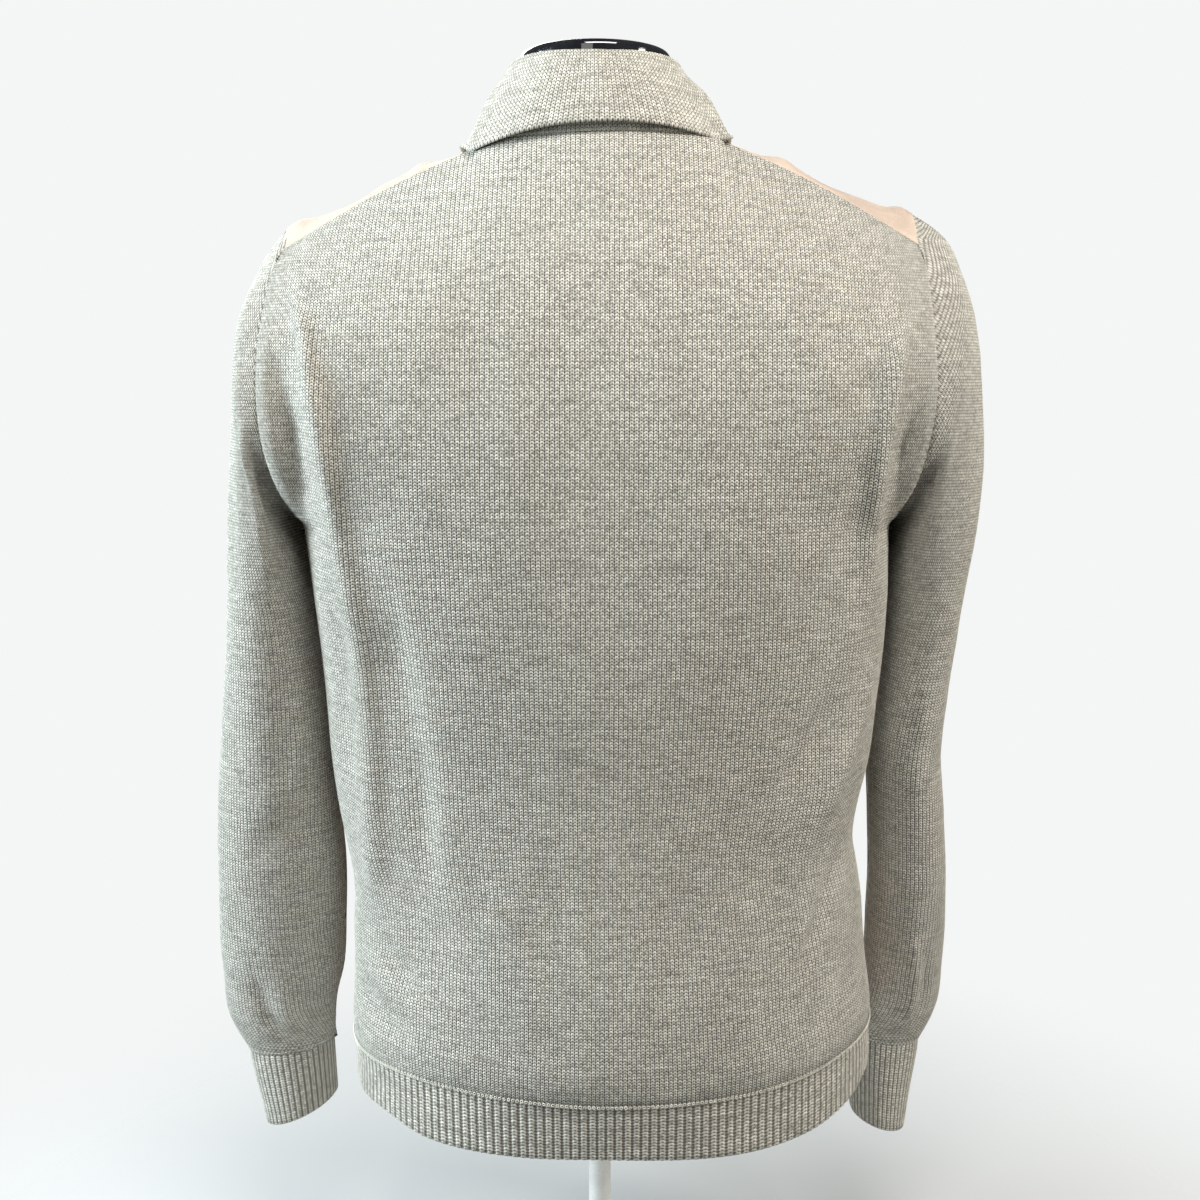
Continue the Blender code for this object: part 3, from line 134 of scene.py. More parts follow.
# sleeves from the armhole to the cuff: outer and inner edge, half depth, middle, and the
# share of the armhole's shape
sleeveLeft = table("k xo zo xi zi depth mid arm", [
    (1, 229.5, 664, 205.5, 496.5, 58, 0, 0.8), (2, 240, 625, 205, 486, 58, 0, 0.5),
    (3, 245.5, 578, 201, 474, 57, -1, 0.25), (4, 250, 523, 199.5, 454, 55, -2, 0.1),
    (5, 255, 467, 197.5, 429, 52, -4, 0), (6, 259, 416, 194.5, 398, 49, -6, 0),
    (7, 264, 370, 191.5, 363, 46, -9, 0), (8, 268.8, 325, 189.3, 322, 43, -12, 0),
    (9, 273.2, 280, 187, 280, 41, -15, 0), (10, 276.5, 235, 184.5, 238, 39, -18, 0),
    (11, 277.7, 195, 186, 200, 37, -21, 0), (12, 276.5, 160, 188.5, 166, 35, -24, 0),
    (13, 275, 130, 195.5, 137, 33, -26, 0), (14, 263.3, 101.1, 197.8, 107.9, 27.8, -28, 0),
])
sleeveRight = table("k xo zo xi zi depth mid arm", [
    (1, 236.2, 679, 201, 496.5, 58, 0, 0.8), (2, 247, 641.5, 200.5, 486, 58, 0, 0.5),
    (3, 254.8, 596.5, 198, 474, 57, -1, 0.25), (4, 258.3, 541, 198, 455, 55, -3, 0.1),
    (5, 254.5, 480, 198.5, 430, 52, -6, 0), (6, 249, 425, 198.5, 400, 49, -9, 0),
    (7, 243.5, 374, 196.5, 364, 46, -13, 0), (8, 242.5, 325, 192.5, 323, 43, -18, 0),
    (9, 247, 280, 194.5, 280, 41, -24, 0), (10, 252.5, 235, 197.5, 238, 39, -31, 0),
    (11, 255, 193, 198.5, 198, 37, -38, 0), (12, 256, 157, 198.5, 163, 35, -45, 0),
    (13, 255.5, 125, 193.5, 132, 33, -51, 0), (14, 245.3, 95.1, 188.2, 100.9, 27.8, -56, 0),
])
cuffLeft = table("k xo zo xi zi depth mid", [
    (0, 262.5, 101, 198.5, 108, 27, -28), (1, 257.5, 74, 197.8, 89, 28, -29),
    (2, 251.5, 40, 197, 62, 29, -30),
])
cuffRight = table("k xo zo xi zi depth mid", [
    (0, 244.5, 95, 189, 101, 27, -56), (1, 240, 58, 190.5, 67, 27.5, -57),
    (2, 236, 22, 193.5, 33, 28, -58),
])

# the garment's largest folds: two ends (across, height), half width, height of the ridge
mainFolds = [
    (1, 0.185, 0.600, 0.160, 0.330, 0.016, 0.0045),
    (1, 0.160, 0.330, 0.152, 0.220, 0.014, 0.0035),
    (1, 0.203, 0.600, 0.196, 0.500, 0.012, -0.0080),
    (1, 0.140, 0.420, 0.112, 0.200, 0.018, -0.0030),
    (1, -0.183, 0.610, -0.176, 0.480, 0.012, 0.0035),
    (1, -0.200, 0.600, -0.192, 0.500, 0.012, -0.0080),
    (1, -0.165, 0.350, -0.125, 0.270, 0.014, 0.0030),
    (-1, 0.110, 0.560, 0.130, 0.300, 0.025, 0.0020),
    (-1, -0.120, 0.540, -0.115, 0.280, 0.025, 0.0020),
]


def hermite(s, low, leanLow, high, leanHigh):
    return ((2 * s ** 3 - 3 * s ** 2 + 1) * low + (s ** 3 - 2 * s ** 2 + s) * leanLow
            + (3 * s ** 2 - 2 * s ** 3) * high + (s ** 3 - s ** 2) * leanHigh)


def read(tab, key, name, x):
    # smooth value of a table's column at x
    xs = tab[key]
    ys = tab[name]
    last = len(xs) - 1
    x = min(max(x, xs[0]), xs[last])
    i = 0
    while i < last - 1 and x > xs[i + 1]:
        i += 1
    a, b = max(i - 1, 0), min(i + 2, last)
    h = xs[i + 1] - xs[i]
    leanLow = (ys[i + 1] - ys[a]) / (xs[i + 1] - xs[a]) * h
    leanHigh = (ys[b] - ys[i]) / (xs[b] - xs[i]) * h
    return hermite((x - xs[i]) / h, ys[i], leanLow, ys[i + 1], leanHigh)


def clamp(x, lo=0.0, hi=1.0):
    return max(lo, min(hi, x))


def ease(x):
    x = clamp(x)
    return x * x * (3 - 2 * x)


def fall(s, m, e):
    return max(0.0, 1.0 - abs(s) ** m) ** e


def half(u, z):
    return read(bodyTable, "z", "left" if u >= 0 else "right", z)


def armhole(side, turn):
    tab = armholeLeft if side > 0 else armholeRight
    turn = turn % 360
    return Vector((side * read(tab, "turn", "x", turn), read(tab, "turn", "y", turn),
                   read(tab, "turn", "z", turn)))


def neckTurn(u):
    return clamp(abs(u) * cut["shoulderHalf"] / cut["neckHalf"])


def topLine(u):
    # depth and height of the back's upper edge
    s = neckTurn(u)
    c = math.sqrt(1 - s * s)
    out = max(abs(u) * cut["shoulderHalf"] - cut["neckHalf"], 0.0)
    z = cut["neckTop"] + cut["neckRise"] * c - cut["shoulderFall"] * out
    z += cut["shoulderBow"] * math.sin(math.pi * out / (cut["shoulderHalf"] - cut["neckHalf"]))
    return cut["neckY"] + cut["neckBack"] * c, z - math.copysign(cut["tilt"] * s, u)


def softTop(u, s):
    # the same line with its corner rounded, as rows below it follow it
    y, z = topLine(u)
    d = abs(u) * cut["shoulderHalf"] - cut["neckHalf"]
    roundOut = (d + math.sqrt(d * d + 0.05 ** 2)) / 2
    roundZ = cut["neckTop"] + 0.004 - cut["shoulderFall"] * roundOut - cut["tilt"] * u
    roundY = cut["neckY"] + cut["neckBack"] * fall(u / 0.62, 2, 2)
    return roundY + (y - roundY) * s ** 22, roundZ + (z - roundZ) * s ** 12


def foldLift(face, x, z):
    lift = 0.0
    for side, ax, az, bx, bz, spread, rise in mainFolds:
        if side != face:
            continue
        dx, dz = bx - ax, bz - az
        s = ((x - ax) * dx + (z - az) * dz) / (dx * dx + dz * dz)
        near = clamp(s)
        away = math.hypot(x - ax - near * dx, z - az - near * dz)
        ends = ease(4 * (s + 0.15)) * ease(4 * (1.15 - s))
        lift += rise * ends * math.exp(-(away / spread) ** 2)
    return lift


def hemLine(face, name, u):
    return read(hemBack if face > 0 else hemFront, "u", name, clamp(u, -0.95, 0.95))


def lowerBody(face, u, v, folded=True):
    # body point between hem seam (v = -1) and armpit (v = 0)
    z = cut["armpit"] + v * (cut["armpit"] - hemLine(face, "top", u))
    n = read(bodyTable, "z", "square", z)
    d = read(bodyTable, "z", "back" if face > 0 else "front", z)
    x = u * half(u, z)
    y = d * fall(u, n, 1 / n)
    if folded:
        y += foldLift(face, x, z) * fall(u, 8, 1) * ease(5 * (v + 1))
    return Vector((x, face * y, z))


def climb(turn):
    # share of the way from armpit to shoulder, the same on both sides
    top = 20 if turn <= 180 else 360
    a = armhole(1, turn if turn < 359 else 0).z + armhole(-1, turn if turn < 359 else 0).z
    b = armhole(1, top % 360).z + armhole(-1, top % 360).z
    return clamp((a - 2 * cut["armpit"]) / (b - 2 * cut["armpit"]))


def sideRoll(u, edgeY):
    k = clamp(abs(edgeY) / 0.055)
    return fall(u, 2.8 - 0.2 * k, 1 / 2.8 + 0.190 * k)


def upperBack(u, turn):
    # back point above the armpits, on the row that meets the armhole at turn
    s = climb(turn)
    side = 1 if u >= 0 else -1
    edge = armhole(side, turn)
    ty, tz = softTop(u, s)
    z = cut["armpit"] + (tz - cut["armpit"]) * s
    endZ = cut["armpit"] + (softTop(side, s)[1] - cut["armpit"]) * s
    z += (edge.z - endZ) * abs(u) ** 5
    p = 3.4 + ease(abs(u) / 0.6)
    deep = ty + (read(bodyTable, "z", "back", z) - ty) * (1 - s ** p)
    y = edge.y + (deep - edge.y) * sideRoll(u, edge.y)
    if s > 0.999:
        y = ty
    x = u * abs(edge.x)
    y += foldLift(1, x, z) * fall(u, 12, 1) * fall(s, 6, 1)
    return Vector((x, y, z))


def upperFront(u, turn):
    # front point above the armpits; turns past 360 run from ridge to shoulder seam
    s = climb(min(turn, 360))
    over = clamp((turn - 360) / 20)
    side = 1 if u >= 0 else -1
    edge = armhole(side, turn)
    q = neckTurn(u)
    low = cut["armpit"]
    part = s
    if q >= 0.9999:
        seamZ = topLine(u)[1]
        endZ = topLine(side)[1]
        ridge = seamZ + read(ridgeTable, "x", "rise", abs(u) * cut["shoulderHalf"])
        ridgeEnd = endZ + read(ridgeTable, "x", "rise", cut["shoulderHalf"])
        topY = -0.002 + (cut["neckY"] + 0.002) * over
        z = low + (ridge - low) * s + (seamZ - ridge) * over ** 1.5
        hereZ = low + (ridgeEnd - low) * s + (endZ - ridgeEnd) * over ** 1.5
        z += (edge.z - hereZ) * abs(u) ** 5
    else:
        c = math.sqrt(1 - q * q)
        topY = cut["neckY"] - cut["neckFront"] * c
        topZ = topLine(u)[1] - cut["neckRise"] * c - cut["neckDrop"] * (1 - q)
        part = s * (0.93 + 0.07 * over)
        z = low + (topZ - low) * part
    bend = 0.62 + 0.20 * (1 - q)
    power = 2.5 - 0.7 * (1 - q)
    deep = topY + (-read(bodyTable, "z", "front", z) - topY) * fall(part, power, bend)
    y = edge.y + (deep - edge.y) * sideRoll(u, edge.y)
    if part > 0.999:
        y = topY
    x = u * abs(edge.x)
    y -= foldLift(-1, x, z) * fall(u, 12, 1) * fall(s, 6, 1)
    return Vector((x, y, z))


def limbEdges(tab, side, k):
    # outermost and innermost point of a sleeve's or cuff's section
    return (Vector((side * read(tab, "k", "xo", k), 0, read(tab, "k", "zo", k))),
            Vector((side * read(tab, "k", "xi", k), 0, read(tab, "k", "zi", k))))


def sleevePoint(side, k, turn):
    # sleeve point on section k, 0 at the armhole seam
    seam = armhole(side, turn)
    if k <= 0:
        return seam
    tab = sleeveLeft if side > 0 else sleeveRight
    a = math.radians(turn)

    def oval(outer, inner, deep, mid):
        c = (outer + inner) / 2
        r = (outer - inner) / 2
        return c + r * math.cos(a) + Vector((0, mid + deep * math.sin(a), 0))

    kk = max(k, 1)
    outer, inner = limbEdges(tab, side, kk)
    here = oval(outer, inner, read(tab, "k", "depth", kk), read(tab, "k", "mid", kk))
    top = armhole(side, 0)
    low = armhole(side, 180)
    plain = oval(Vector((top.x, 0, top.z)), Vector((low.x, 0, low.z)), 0.058, 0.0)
    point = here + (seam - plain) * read(tab, "k", "arm", kk)
    return seam.lerp(point, k) if k < 1 else point


def cuffPoint(side, k, turn, inset=0.0):
    tab = cuffLeft if side > 0 else cuffRight
    a = math.radians(turn)
    outer, inner = limbEdges(tab, side, k)
    r = (outer - inner) / 2
    r *= 1 - inset / r.length
    y = read(tab, "k", "mid", k) + (read(tab, "k", "depth", k) - inset) * math.sin(a)
    return (outer + inner) / 2 + r * math.cos(a) + Vector((0, y, 0))


def hemPoint(beta, f, inset=0.0):
    # hem face by angle round the body from the middle of the back, f from seam to edge
    face = 1 if abs(beta) <= 90 else -1
    u = math.sin(math.radians(beta))
    high = hemLine(face, "top", u) - cut["drawBack"]
    z = high + (hemLine(face, "low", u) - high) * f
    n = read(bodyTable, "z", "square", z)
    d = read(bodyTable, "z", "back" if face > 0 else "front", z)
    return Vector((u * (half(u, z) - inset), face * (d - inset) * fall(u, n, 1 / n), z))


# cloth walls made from grids: an array of rows upward and columns to the right, seen from outside


def gridNormals(grid):
    across = np.gradient(grid, axis=1)
    along = np.gradient(grid, axis=0)
    n = np.cross(across, along)
    size = np.linalg.norm(n, axis=2, keepdims=True)
    n = n / np.maximum(size, 1e-12)
    flat = size[..., 0] < 1e-12          # folded-up columns take their neighbour's direction
    for i in range(1, n.shape[1]):
        n[flat[:, i], i] = n[flat[:, i], i - 1]
    for i in range(n.shape[1] - 2, -1, -1):
        n[flat[:, i], i] = n[flat[:, i], i + 1]
    return n


def creaseField(a, b, creases):
    # height of soft ridges and troughs over a surface with flat coordinates a and b;
    # each crease is a path of (a, b, height, half width)
    total = np.zeros(a.shape)
    for path in creases:
        best = np.full(a.shape, 1e9)
        height = np.zeros(a.shape)
        for (a0, b0, h0, w0), (a1, b1, h1, w1) in zip(path, path[1:]):
            da, db = a1 - a0, b1 - b0
            s = np.clip(((a - a0) * da + (b - b0) * db) / (da * da + db * db), 0, 1)
            away = np.hypot(a - a0 - s * da, b - b0 - s * db) / (w0 + (w1 - w0) * s)
            closer = away < best
            best = np.where(closer, away, best)
            height = np.where(closer, h0 + (h1 - h0) * s, height)
        total += height * np.exp(-best ** 2)
    return total


def unevenField(grid, scale, height, seed):
    # slow unevenness of hanging cloth, from noise worked out on a coarser grid
    shift = Vector((seed * 3.7, seed * 1.3, seed * 2.1))
    coarse = grid[::2, ::4]
    small = np.array([[noise.noise(Vector(p) * scale + shift) for p in line] for line in coarse])
    rows = np.linspace(0, small.shape[0] - 1, grid.shape[0])
    cols = np.linspace(0, small.shape[1] - 1, grid.shape[1])
    r0 = np.minimum(rows.astype(int), small.shape[0] - 2)
    c0 = np.minimum(cols.astype(int), small.shape[1] - 2)
    fr = (rows - r0)[:, None]
    fc = (cols - c0)[None, :]
    out = (small[np.ix_(r0, c0)] * (1 - fr) * (1 - fc) + small[np.ix_(r0 + 1, c0)] * fr * (1 - fc)
           + small[np.ix_(r0, c0 + 1)] * (1 - fr) * fc + small[np.ix_(r0 + 1, c0 + 1)] * fr * fc)
    return out * height


def sinkEdges(grid, normals, edges, sink, back):
    # sewn edges turn in and stop a little short of the seam
    out = grid.copy()
    rows, cols = grid.shape[:2]
    sides = {"d": ((0, slice(None)), (1, slice(None)), (2, slice(None))),
             "u": ((rows - 1, slice(None)), (rows - 2, slice(None)), (rows - 3, slice(None))),
             "l": ((slice(None), 0), (slice(None), 1), (slice(None), 2)),
             "r": ((slice(None), cols - 1), (slice(None), cols - 2), (slice(None), cols - 3))}
    for key in edges:
        rim, second, third = sides[key]
        step = grid[third] - grid[rim]
        size = np.linalg.norm(step, axis=-1, keepdims=True)
        out[rim] += step / np.maximum(size, 1e-9) * back - normals[rim] * sink
        out[second] -= normals[second] * sink * 0.3
    return out


def walk(rows, cols):
    # order of a grid's rim: bottom, right side, top, left side
    r, c = len(rows), len(cols)
    path = [(0, i) for i in range(c)] + [(j, c - 1) for j in range(1, r)]
    path += [(r - 1, i) for i in range(c - 2, -1, -1)] + [(j, 0) for j in range(r - 2, 0, -1)]
    return [(rows[j], cols[i]) for j, i in path]


def clothWall(name, grid, wall, wale, course, relief, stepRow=3, stepCol=8, rim=0.45):
    # closed wall: the grid outside, a coarser plain face inside, and a rounded rim between them
    rows, cols = grid.shape[:2]
    normals = gridNormals(grid)
    outer = grid.reshape(-1, 3)
    rowPick = sorted(set(range(0, rows, stepRow)) | {rows - 1})
    colPick = sorted(set(range(0, cols, stepCol)) | {cols - 1})
    inner = (grid - normals * wall)[np.ix_(rowPick, colPick)].reshape(-1, 3)
    innerId = {(j, i): rows * cols + a * len(colPick) + b
               for a, j in enumerate(rowPick) for b, i in enumerate(colPick)}
    rimPath = walk(list(range(rows)), list(range(cols)))
    coarsePath = walk(rowPick, colPick)
    mids = []
    for n, (j, i) in enumerate(rimPath):
        nj, ni = min(max(j, 1), rows - 2), min(max(i, 1), cols - 2)
        outward = grid[j, i] - grid[nj, ni]
        size = np.linalg.norm(outward)
        outward = outward / size if size > 1e-9 else outward * 0
        mids.append(grid[j, i] - normals[j, i] * wall / 2 + outward * wall * rim)
    midStart = rows * cols + len(inner)
    points = np.vstack([outer, inner, np.array(mids)])

    index = np.arange(rows * cols).reshape(rows, cols)
    quads = np.stack([index[:-1, :-1], index[:-1, 1:], index[1:, 1:], index[1:, :-1]], -1)
    faces = [tuple(q) for q in quads.reshape(-1, 4).tolist()]
    for a in range(len(rowPick) - 1):
        for b in range(len(colPick) - 1):
            corners = [(rowPick[a], colPick[b]), (rowPick[a + 1], colPick[b]),
                       (rowPick[a + 1], colPick[b + 1]), (rowPick[a], colPick[b + 1])]
            faces.append(tuple(innerId[c] for c in corners))
    spot = {c: n for n, c in enumerate(rimPath)}
    marks = [spot[c] for c in coarsePath]
    count = len(rimPath)
    nearest = []
    m = 0
    for n in range(count):
        while m + 1 < len(marks) and marks[m + 1] - n <= n - marks[m]:
            m += 1
        last = m == len(marks) - 1 and count - n < n - marks[m]
        nearest.append(innerId[coarsePath[0 if last else m]])
    for n in range(count):
        k = (n + 1) % count
        a = int(index[rimPath[n]])
        b = int(index[rimPath[k]])
        ma, mb = midStart + n, midStart + k
        faces.append((b, a, ma, mb))
        if nearest[n] == nearest[k]:
            faces.append((mb, ma, nearest[n]))
        else:
            faces.append((mb, ma, nearest[n], nearest[k]))

    def spreadOut(values, rimValue=None):
        flat = values.reshape(-1)
        innerPart = values[np.ix_(rowPick, colPick)].reshape(-1)
        rimPart = np.array([values[c] for c in rimPath])
        if rimValue is not None:
            innerPart = innerPart * 0 + rimValue
            rimPart = rimPart * 0 + rimValue
        return np.concatenate([flat, innerPart, rimPart])

    wales = spreadOut(wale)
    courses = spreadOut(course)
    reliefs = spreadOut(relief, 0.0)
    points[:, 2] += cut["stand"]
    mesh = bpy.data.meshes.new(name)
    mesh.from_pydata(points.tolist(), [], faces)
    mesh.update()
    loopVerts = np.zeros(len(mesh.loops), np.int32)
    mesh.loops.foreach_get("vertex_index", loopVerts)
    uv = mesh.uv_layers.new(name="stitchMap")
    uv.data.foreach_set("uv", np.stack([wales[loopVerts], courses[loopVerts]], -1).ravel())
    for key, values in (("waleAt", wales), ("reliefShare", reliefs)):
        mesh.attributes.new(key, "FLOAT", "POINT").data.foreach_set("value", values)
    bm = bmesh.new()
    bm.from_mesh(mesh)
    bmesh.ops.remove_doubles(bm, verts=bm.verts, dist=2e-6)
    bm.to_mesh(mesh)
    bm.free()
    shade(mesh)
    return addObject(name, mesh)


# node trees


def setInput(node, i, value, tree):
    if isinstance(value, bpy.types.NodeSocket):
        tree.links.new(value, node.inputs[i])
    elif value is not None:
        node.inputs[i].default_value = value


def calc(tree, what, *values):
    node = tree.nodes.new("ShaderNodeMath")
    node.operation = what
    for i, value in enumerate(values):
        setInput(node, i, value, tree)
    return node.outputs[0]


def fill(tree, node, **values):
    for key, value in values.items():
        setInput(node, key.replace("_", " "), value, tree)


def place(tree, kind, **values):
    # a node with its properties and inputs set by name
    node = tree.nodes.new(kind)
    inputs = {}
    for key, value in values.items():
        if key.startswith("as_"):
            setattr(node, key[3:], value)
        else:
            inputs[key] = value
    fill(tree, node, **inputs)
    return node


def mixColour(tree, share, a, b):
    node = tree.nodes.new("ShaderNodeMix")
    node.data_type = "RGBA"
    setInput(node, 0, share, tree)
    setInput(node, 6, a, tree)
    setInput(node, 7, b, tree)
    return node.outputs[2]


def vectorCalc(tree, what, first, second=None):
    node = place(tree, "ShaderNodeVectorMath", as_operation=what)
    setInput(node, 0, first, tree)
    setInput(node, "Scale" if what == "SCALE" else 1, second, tree)
    return node.outputs["Value" if what == "LENGTH" else "Vector"]


def newTree(name, kind, inputs, outputs):
    tree = bpy.data.node_groups.new(name, kind)
    for label, carries, value in inputs:
        item = tree.interface.new_socket(name=label, in_out="INPUT",
                                         socket_type="NodeSocket" + carries)
        if value is not None:
            item.default_value = value
    for label, carries in outputs:
        tree.interface.new_socket(name=label, in_out="OUTPUT",
                                  socket_type="NodeSocket" + carries)
    return tree, tree.nodes.new("NodeGroupInput"), tree.nodes.new("NodeGroupOutput")


def shape(tree, value, fromLow, fromHigh, toLow=0.0, toHigh=1.0, smooth=True):
    node = tree.nodes.new("ShaderNodeMapRange")
    node.interpolation_type = "SMOOTHSTEP" if smooth else "LINEAR"
    for i, v in enumerate((value, fromLow, fromHigh, toLow, toHigh)):
        setInput(node, i, v, tree)
    return node.outputs[0]


def raiseWalesTree():
    # lifts the two legs of every wale off the cloth and leaves a furrow between wales
    tree, start, end = newTree("raiseWales", "GeometryNodeTree", [
        ("Geometry", "Geometry", None),
        ("Depth", "Float", 0.0005),
        ("Spread", "Float", 1.0),
        ("Dip", "Float", 0.18),
        ("Yarn", "Material", None),
    ], [("Geometry", "Geometry")])
    wale = place(tree, "GeometryNodeInputNamedAttribute", as_data_type="FLOAT", Name="waleAt")
    share = place(tree, "GeometryNodeInputNamedAttribute", as_data_type="FLOAT",
                  Name="reliefShare")
    cell = calc(tree, "FRACT", wale.outputs[0])
    off = calc(tree, "ABSOLUTE", calc(tree, "SUBTRACT", cell, 0.5))
    off = calc(tree, "MINIMUM", calc(tree, "MULTIPLY", off, start.outputs["Spread"]), 0.5)
    arch = calc(tree, "COSINE", calc(tree, "MULTIPLY", off, math.pi))
    legs = calc(tree, "COSINE", calc(tree, "MULTIPLY", off, 4 * math.pi))
    dip = calc(tree, "MULTIPLY", legs, start.outputs["Dip"])
    top = calc(tree, "MULTIPLY", arch, calc(tree, "SUBTRACT", 0.82, dip))
    height = calc(tree, "MULTIPLY", calc(tree, "MULTIPLY", top, share.outputs[0]),
                  start.outputs["Depth"])
    normal = place(tree, "GeometryNodeInputNormal")
    move = place(tree, "GeometryNodeSetPosition", Geometry=start.outputs["Geometry"],
                 Offset=vectorCalc(tree, "SCALE", normal.outputs[0], height))
    real = place(tree, "GeometryNodeRealizeInstances", Geometry=move.outputs[0])
    paint = place(tree, "GeometryNodeSetMaterial", Geometry=real.outputs[0],
                  Material=start.outputs["Yarn"])
    tree.links.new(paint.outputs[0], end.inputs[0])
    return tree


def sewAlongTree():
    # sets one stitch after another along a path that knows which way is outward
    tree, start, end = newTree("sewAlong", "GeometryNodeTree", [
        ("Geometry", "Geometry", None),
        ("Stitch", "Object", None),
        ("Pitch", "Float", 0.003),
        ("Lift", "Float", 0.0),
        ("Size", "Float", 1.0),
        ("Unevenness", "Float", 0.1),
        ("Slant", "Float", 0.0),
        ("Seed", "Int", 1),
        ("Thread", "Material", None),
    ], [("Geometry", "Geometry")])
    line = place(tree, "GeometryNodeMeshToCurve", Mesh=start.outputs["Geometry"])
    even = place(tree, "GeometryNodeResampleCurve", as_mode="LENGTH", Curve=line.outputs[0],
                 Length=start.outputs["Pitch"])
    tangent = place(tree, "GeometryNodeInputTangent")
    keep = tree.nodes.new("GeometryNodeCaptureAttribute")
    keep.capture_items.new("VECTOR", "onward")
    tree.links.new(even.outputs[0], keep.inputs[0])
    tree.links.new(tangent.outputs[0], keep.inputs[1])
    points = place(tree, "GeometryNodeCurveToPoints", as_mode="EVALUATED", Curve=keep.outputs[0])
    outward = place(tree, "GeometryNodeInputNamedAttribute", as_data_type="FLOAT_VECTOR",
                    Name="outward")
    axes = place(tree, "FunctionNodeAxesToRotation", as_primary_axis="Z", as_secondary_axis="X")
    tree.links.new(outward.outputs[0], axes.inputs[0])
    tree.links.new(keep.outputs[1], axes.inputs[1])
    shake = place(tree, "FunctionNodeRandomValue", as_data_type="FLOAT_VECTOR",
                  Seed=start.outputs["Seed"])
    shake.inputs[0].default_value = (-1, -1, -1)
    shake.inputs[1].default_value = (1, 1, 1)
    turn = vectorCalc(tree, "SCALE", shake.outputs[0], start.outputs["Unevenness"])
    slant = place(tree, "ShaderNodeCombineXYZ", Z=start.outputs["Slant"])
    both = vectorCalc(tree, "ADD", turn, slant.outputs[0])
    spin = place(tree, "FunctionNodeRotateRotation", as_rotation_space="LOCAL")
    tree.links.new(axes.outputs[0], spin.inputs[0])
    tree.links.new(both, spin.inputs[1])
    rise = vectorCalc(tree, "SCALE", outward.outputs[0], start.outputs["Lift"])
    lifted = place(tree, "GeometryNodeSetPosition", Geometry=points.outputs[0], Offset=rise)
    source = place(tree, "GeometryNodeObjectInfo", Object=start.outputs["Stitch"])
    sown = place(tree, "GeometryNodeInstanceOnPoints", Points=lifted.outputs[0],
                 Instance=source.outputs["Geometry"], Rotation=spin.outputs[0],
                 Scale=start.outputs["Size"])
    real = place(tree, "GeometryNodeRealizeInstances", Geometry=sown.outputs[0])
    paint = place(tree, "GeometryNodeSetMaterial", Geometry=real.outputs[0],
                  Material=start.outputs["Thread"])
    tree.links.new(paint.outputs[0], end.inputs[0])
    return tree


def runNodes(obj, tree, values):
    # the tree's result becomes the object's own plain mesh
    step = obj.modifiers.new(tree.name, "NODES")
    step.node_group = tree
    for item in tree.interface.items_tree:
        if item.item_type == "SOCKET" and item.in_out == "INPUT" and item.name in values:
            step[item.identifier] = values[item.name]
    graph = bpy.context.evaluated_depsgraph_get()
    mesh = bpy.data.meshes.new_from_object(obj.evaluated_get(graph),
                                           preserve_all_data_layers=True, depsgraph=graph)
    obj.modifiers.clear()
    obj.data = mesh
    mesh.name = obj.name
    shade(mesh)
    mesh.update()
    return obj


# finishes


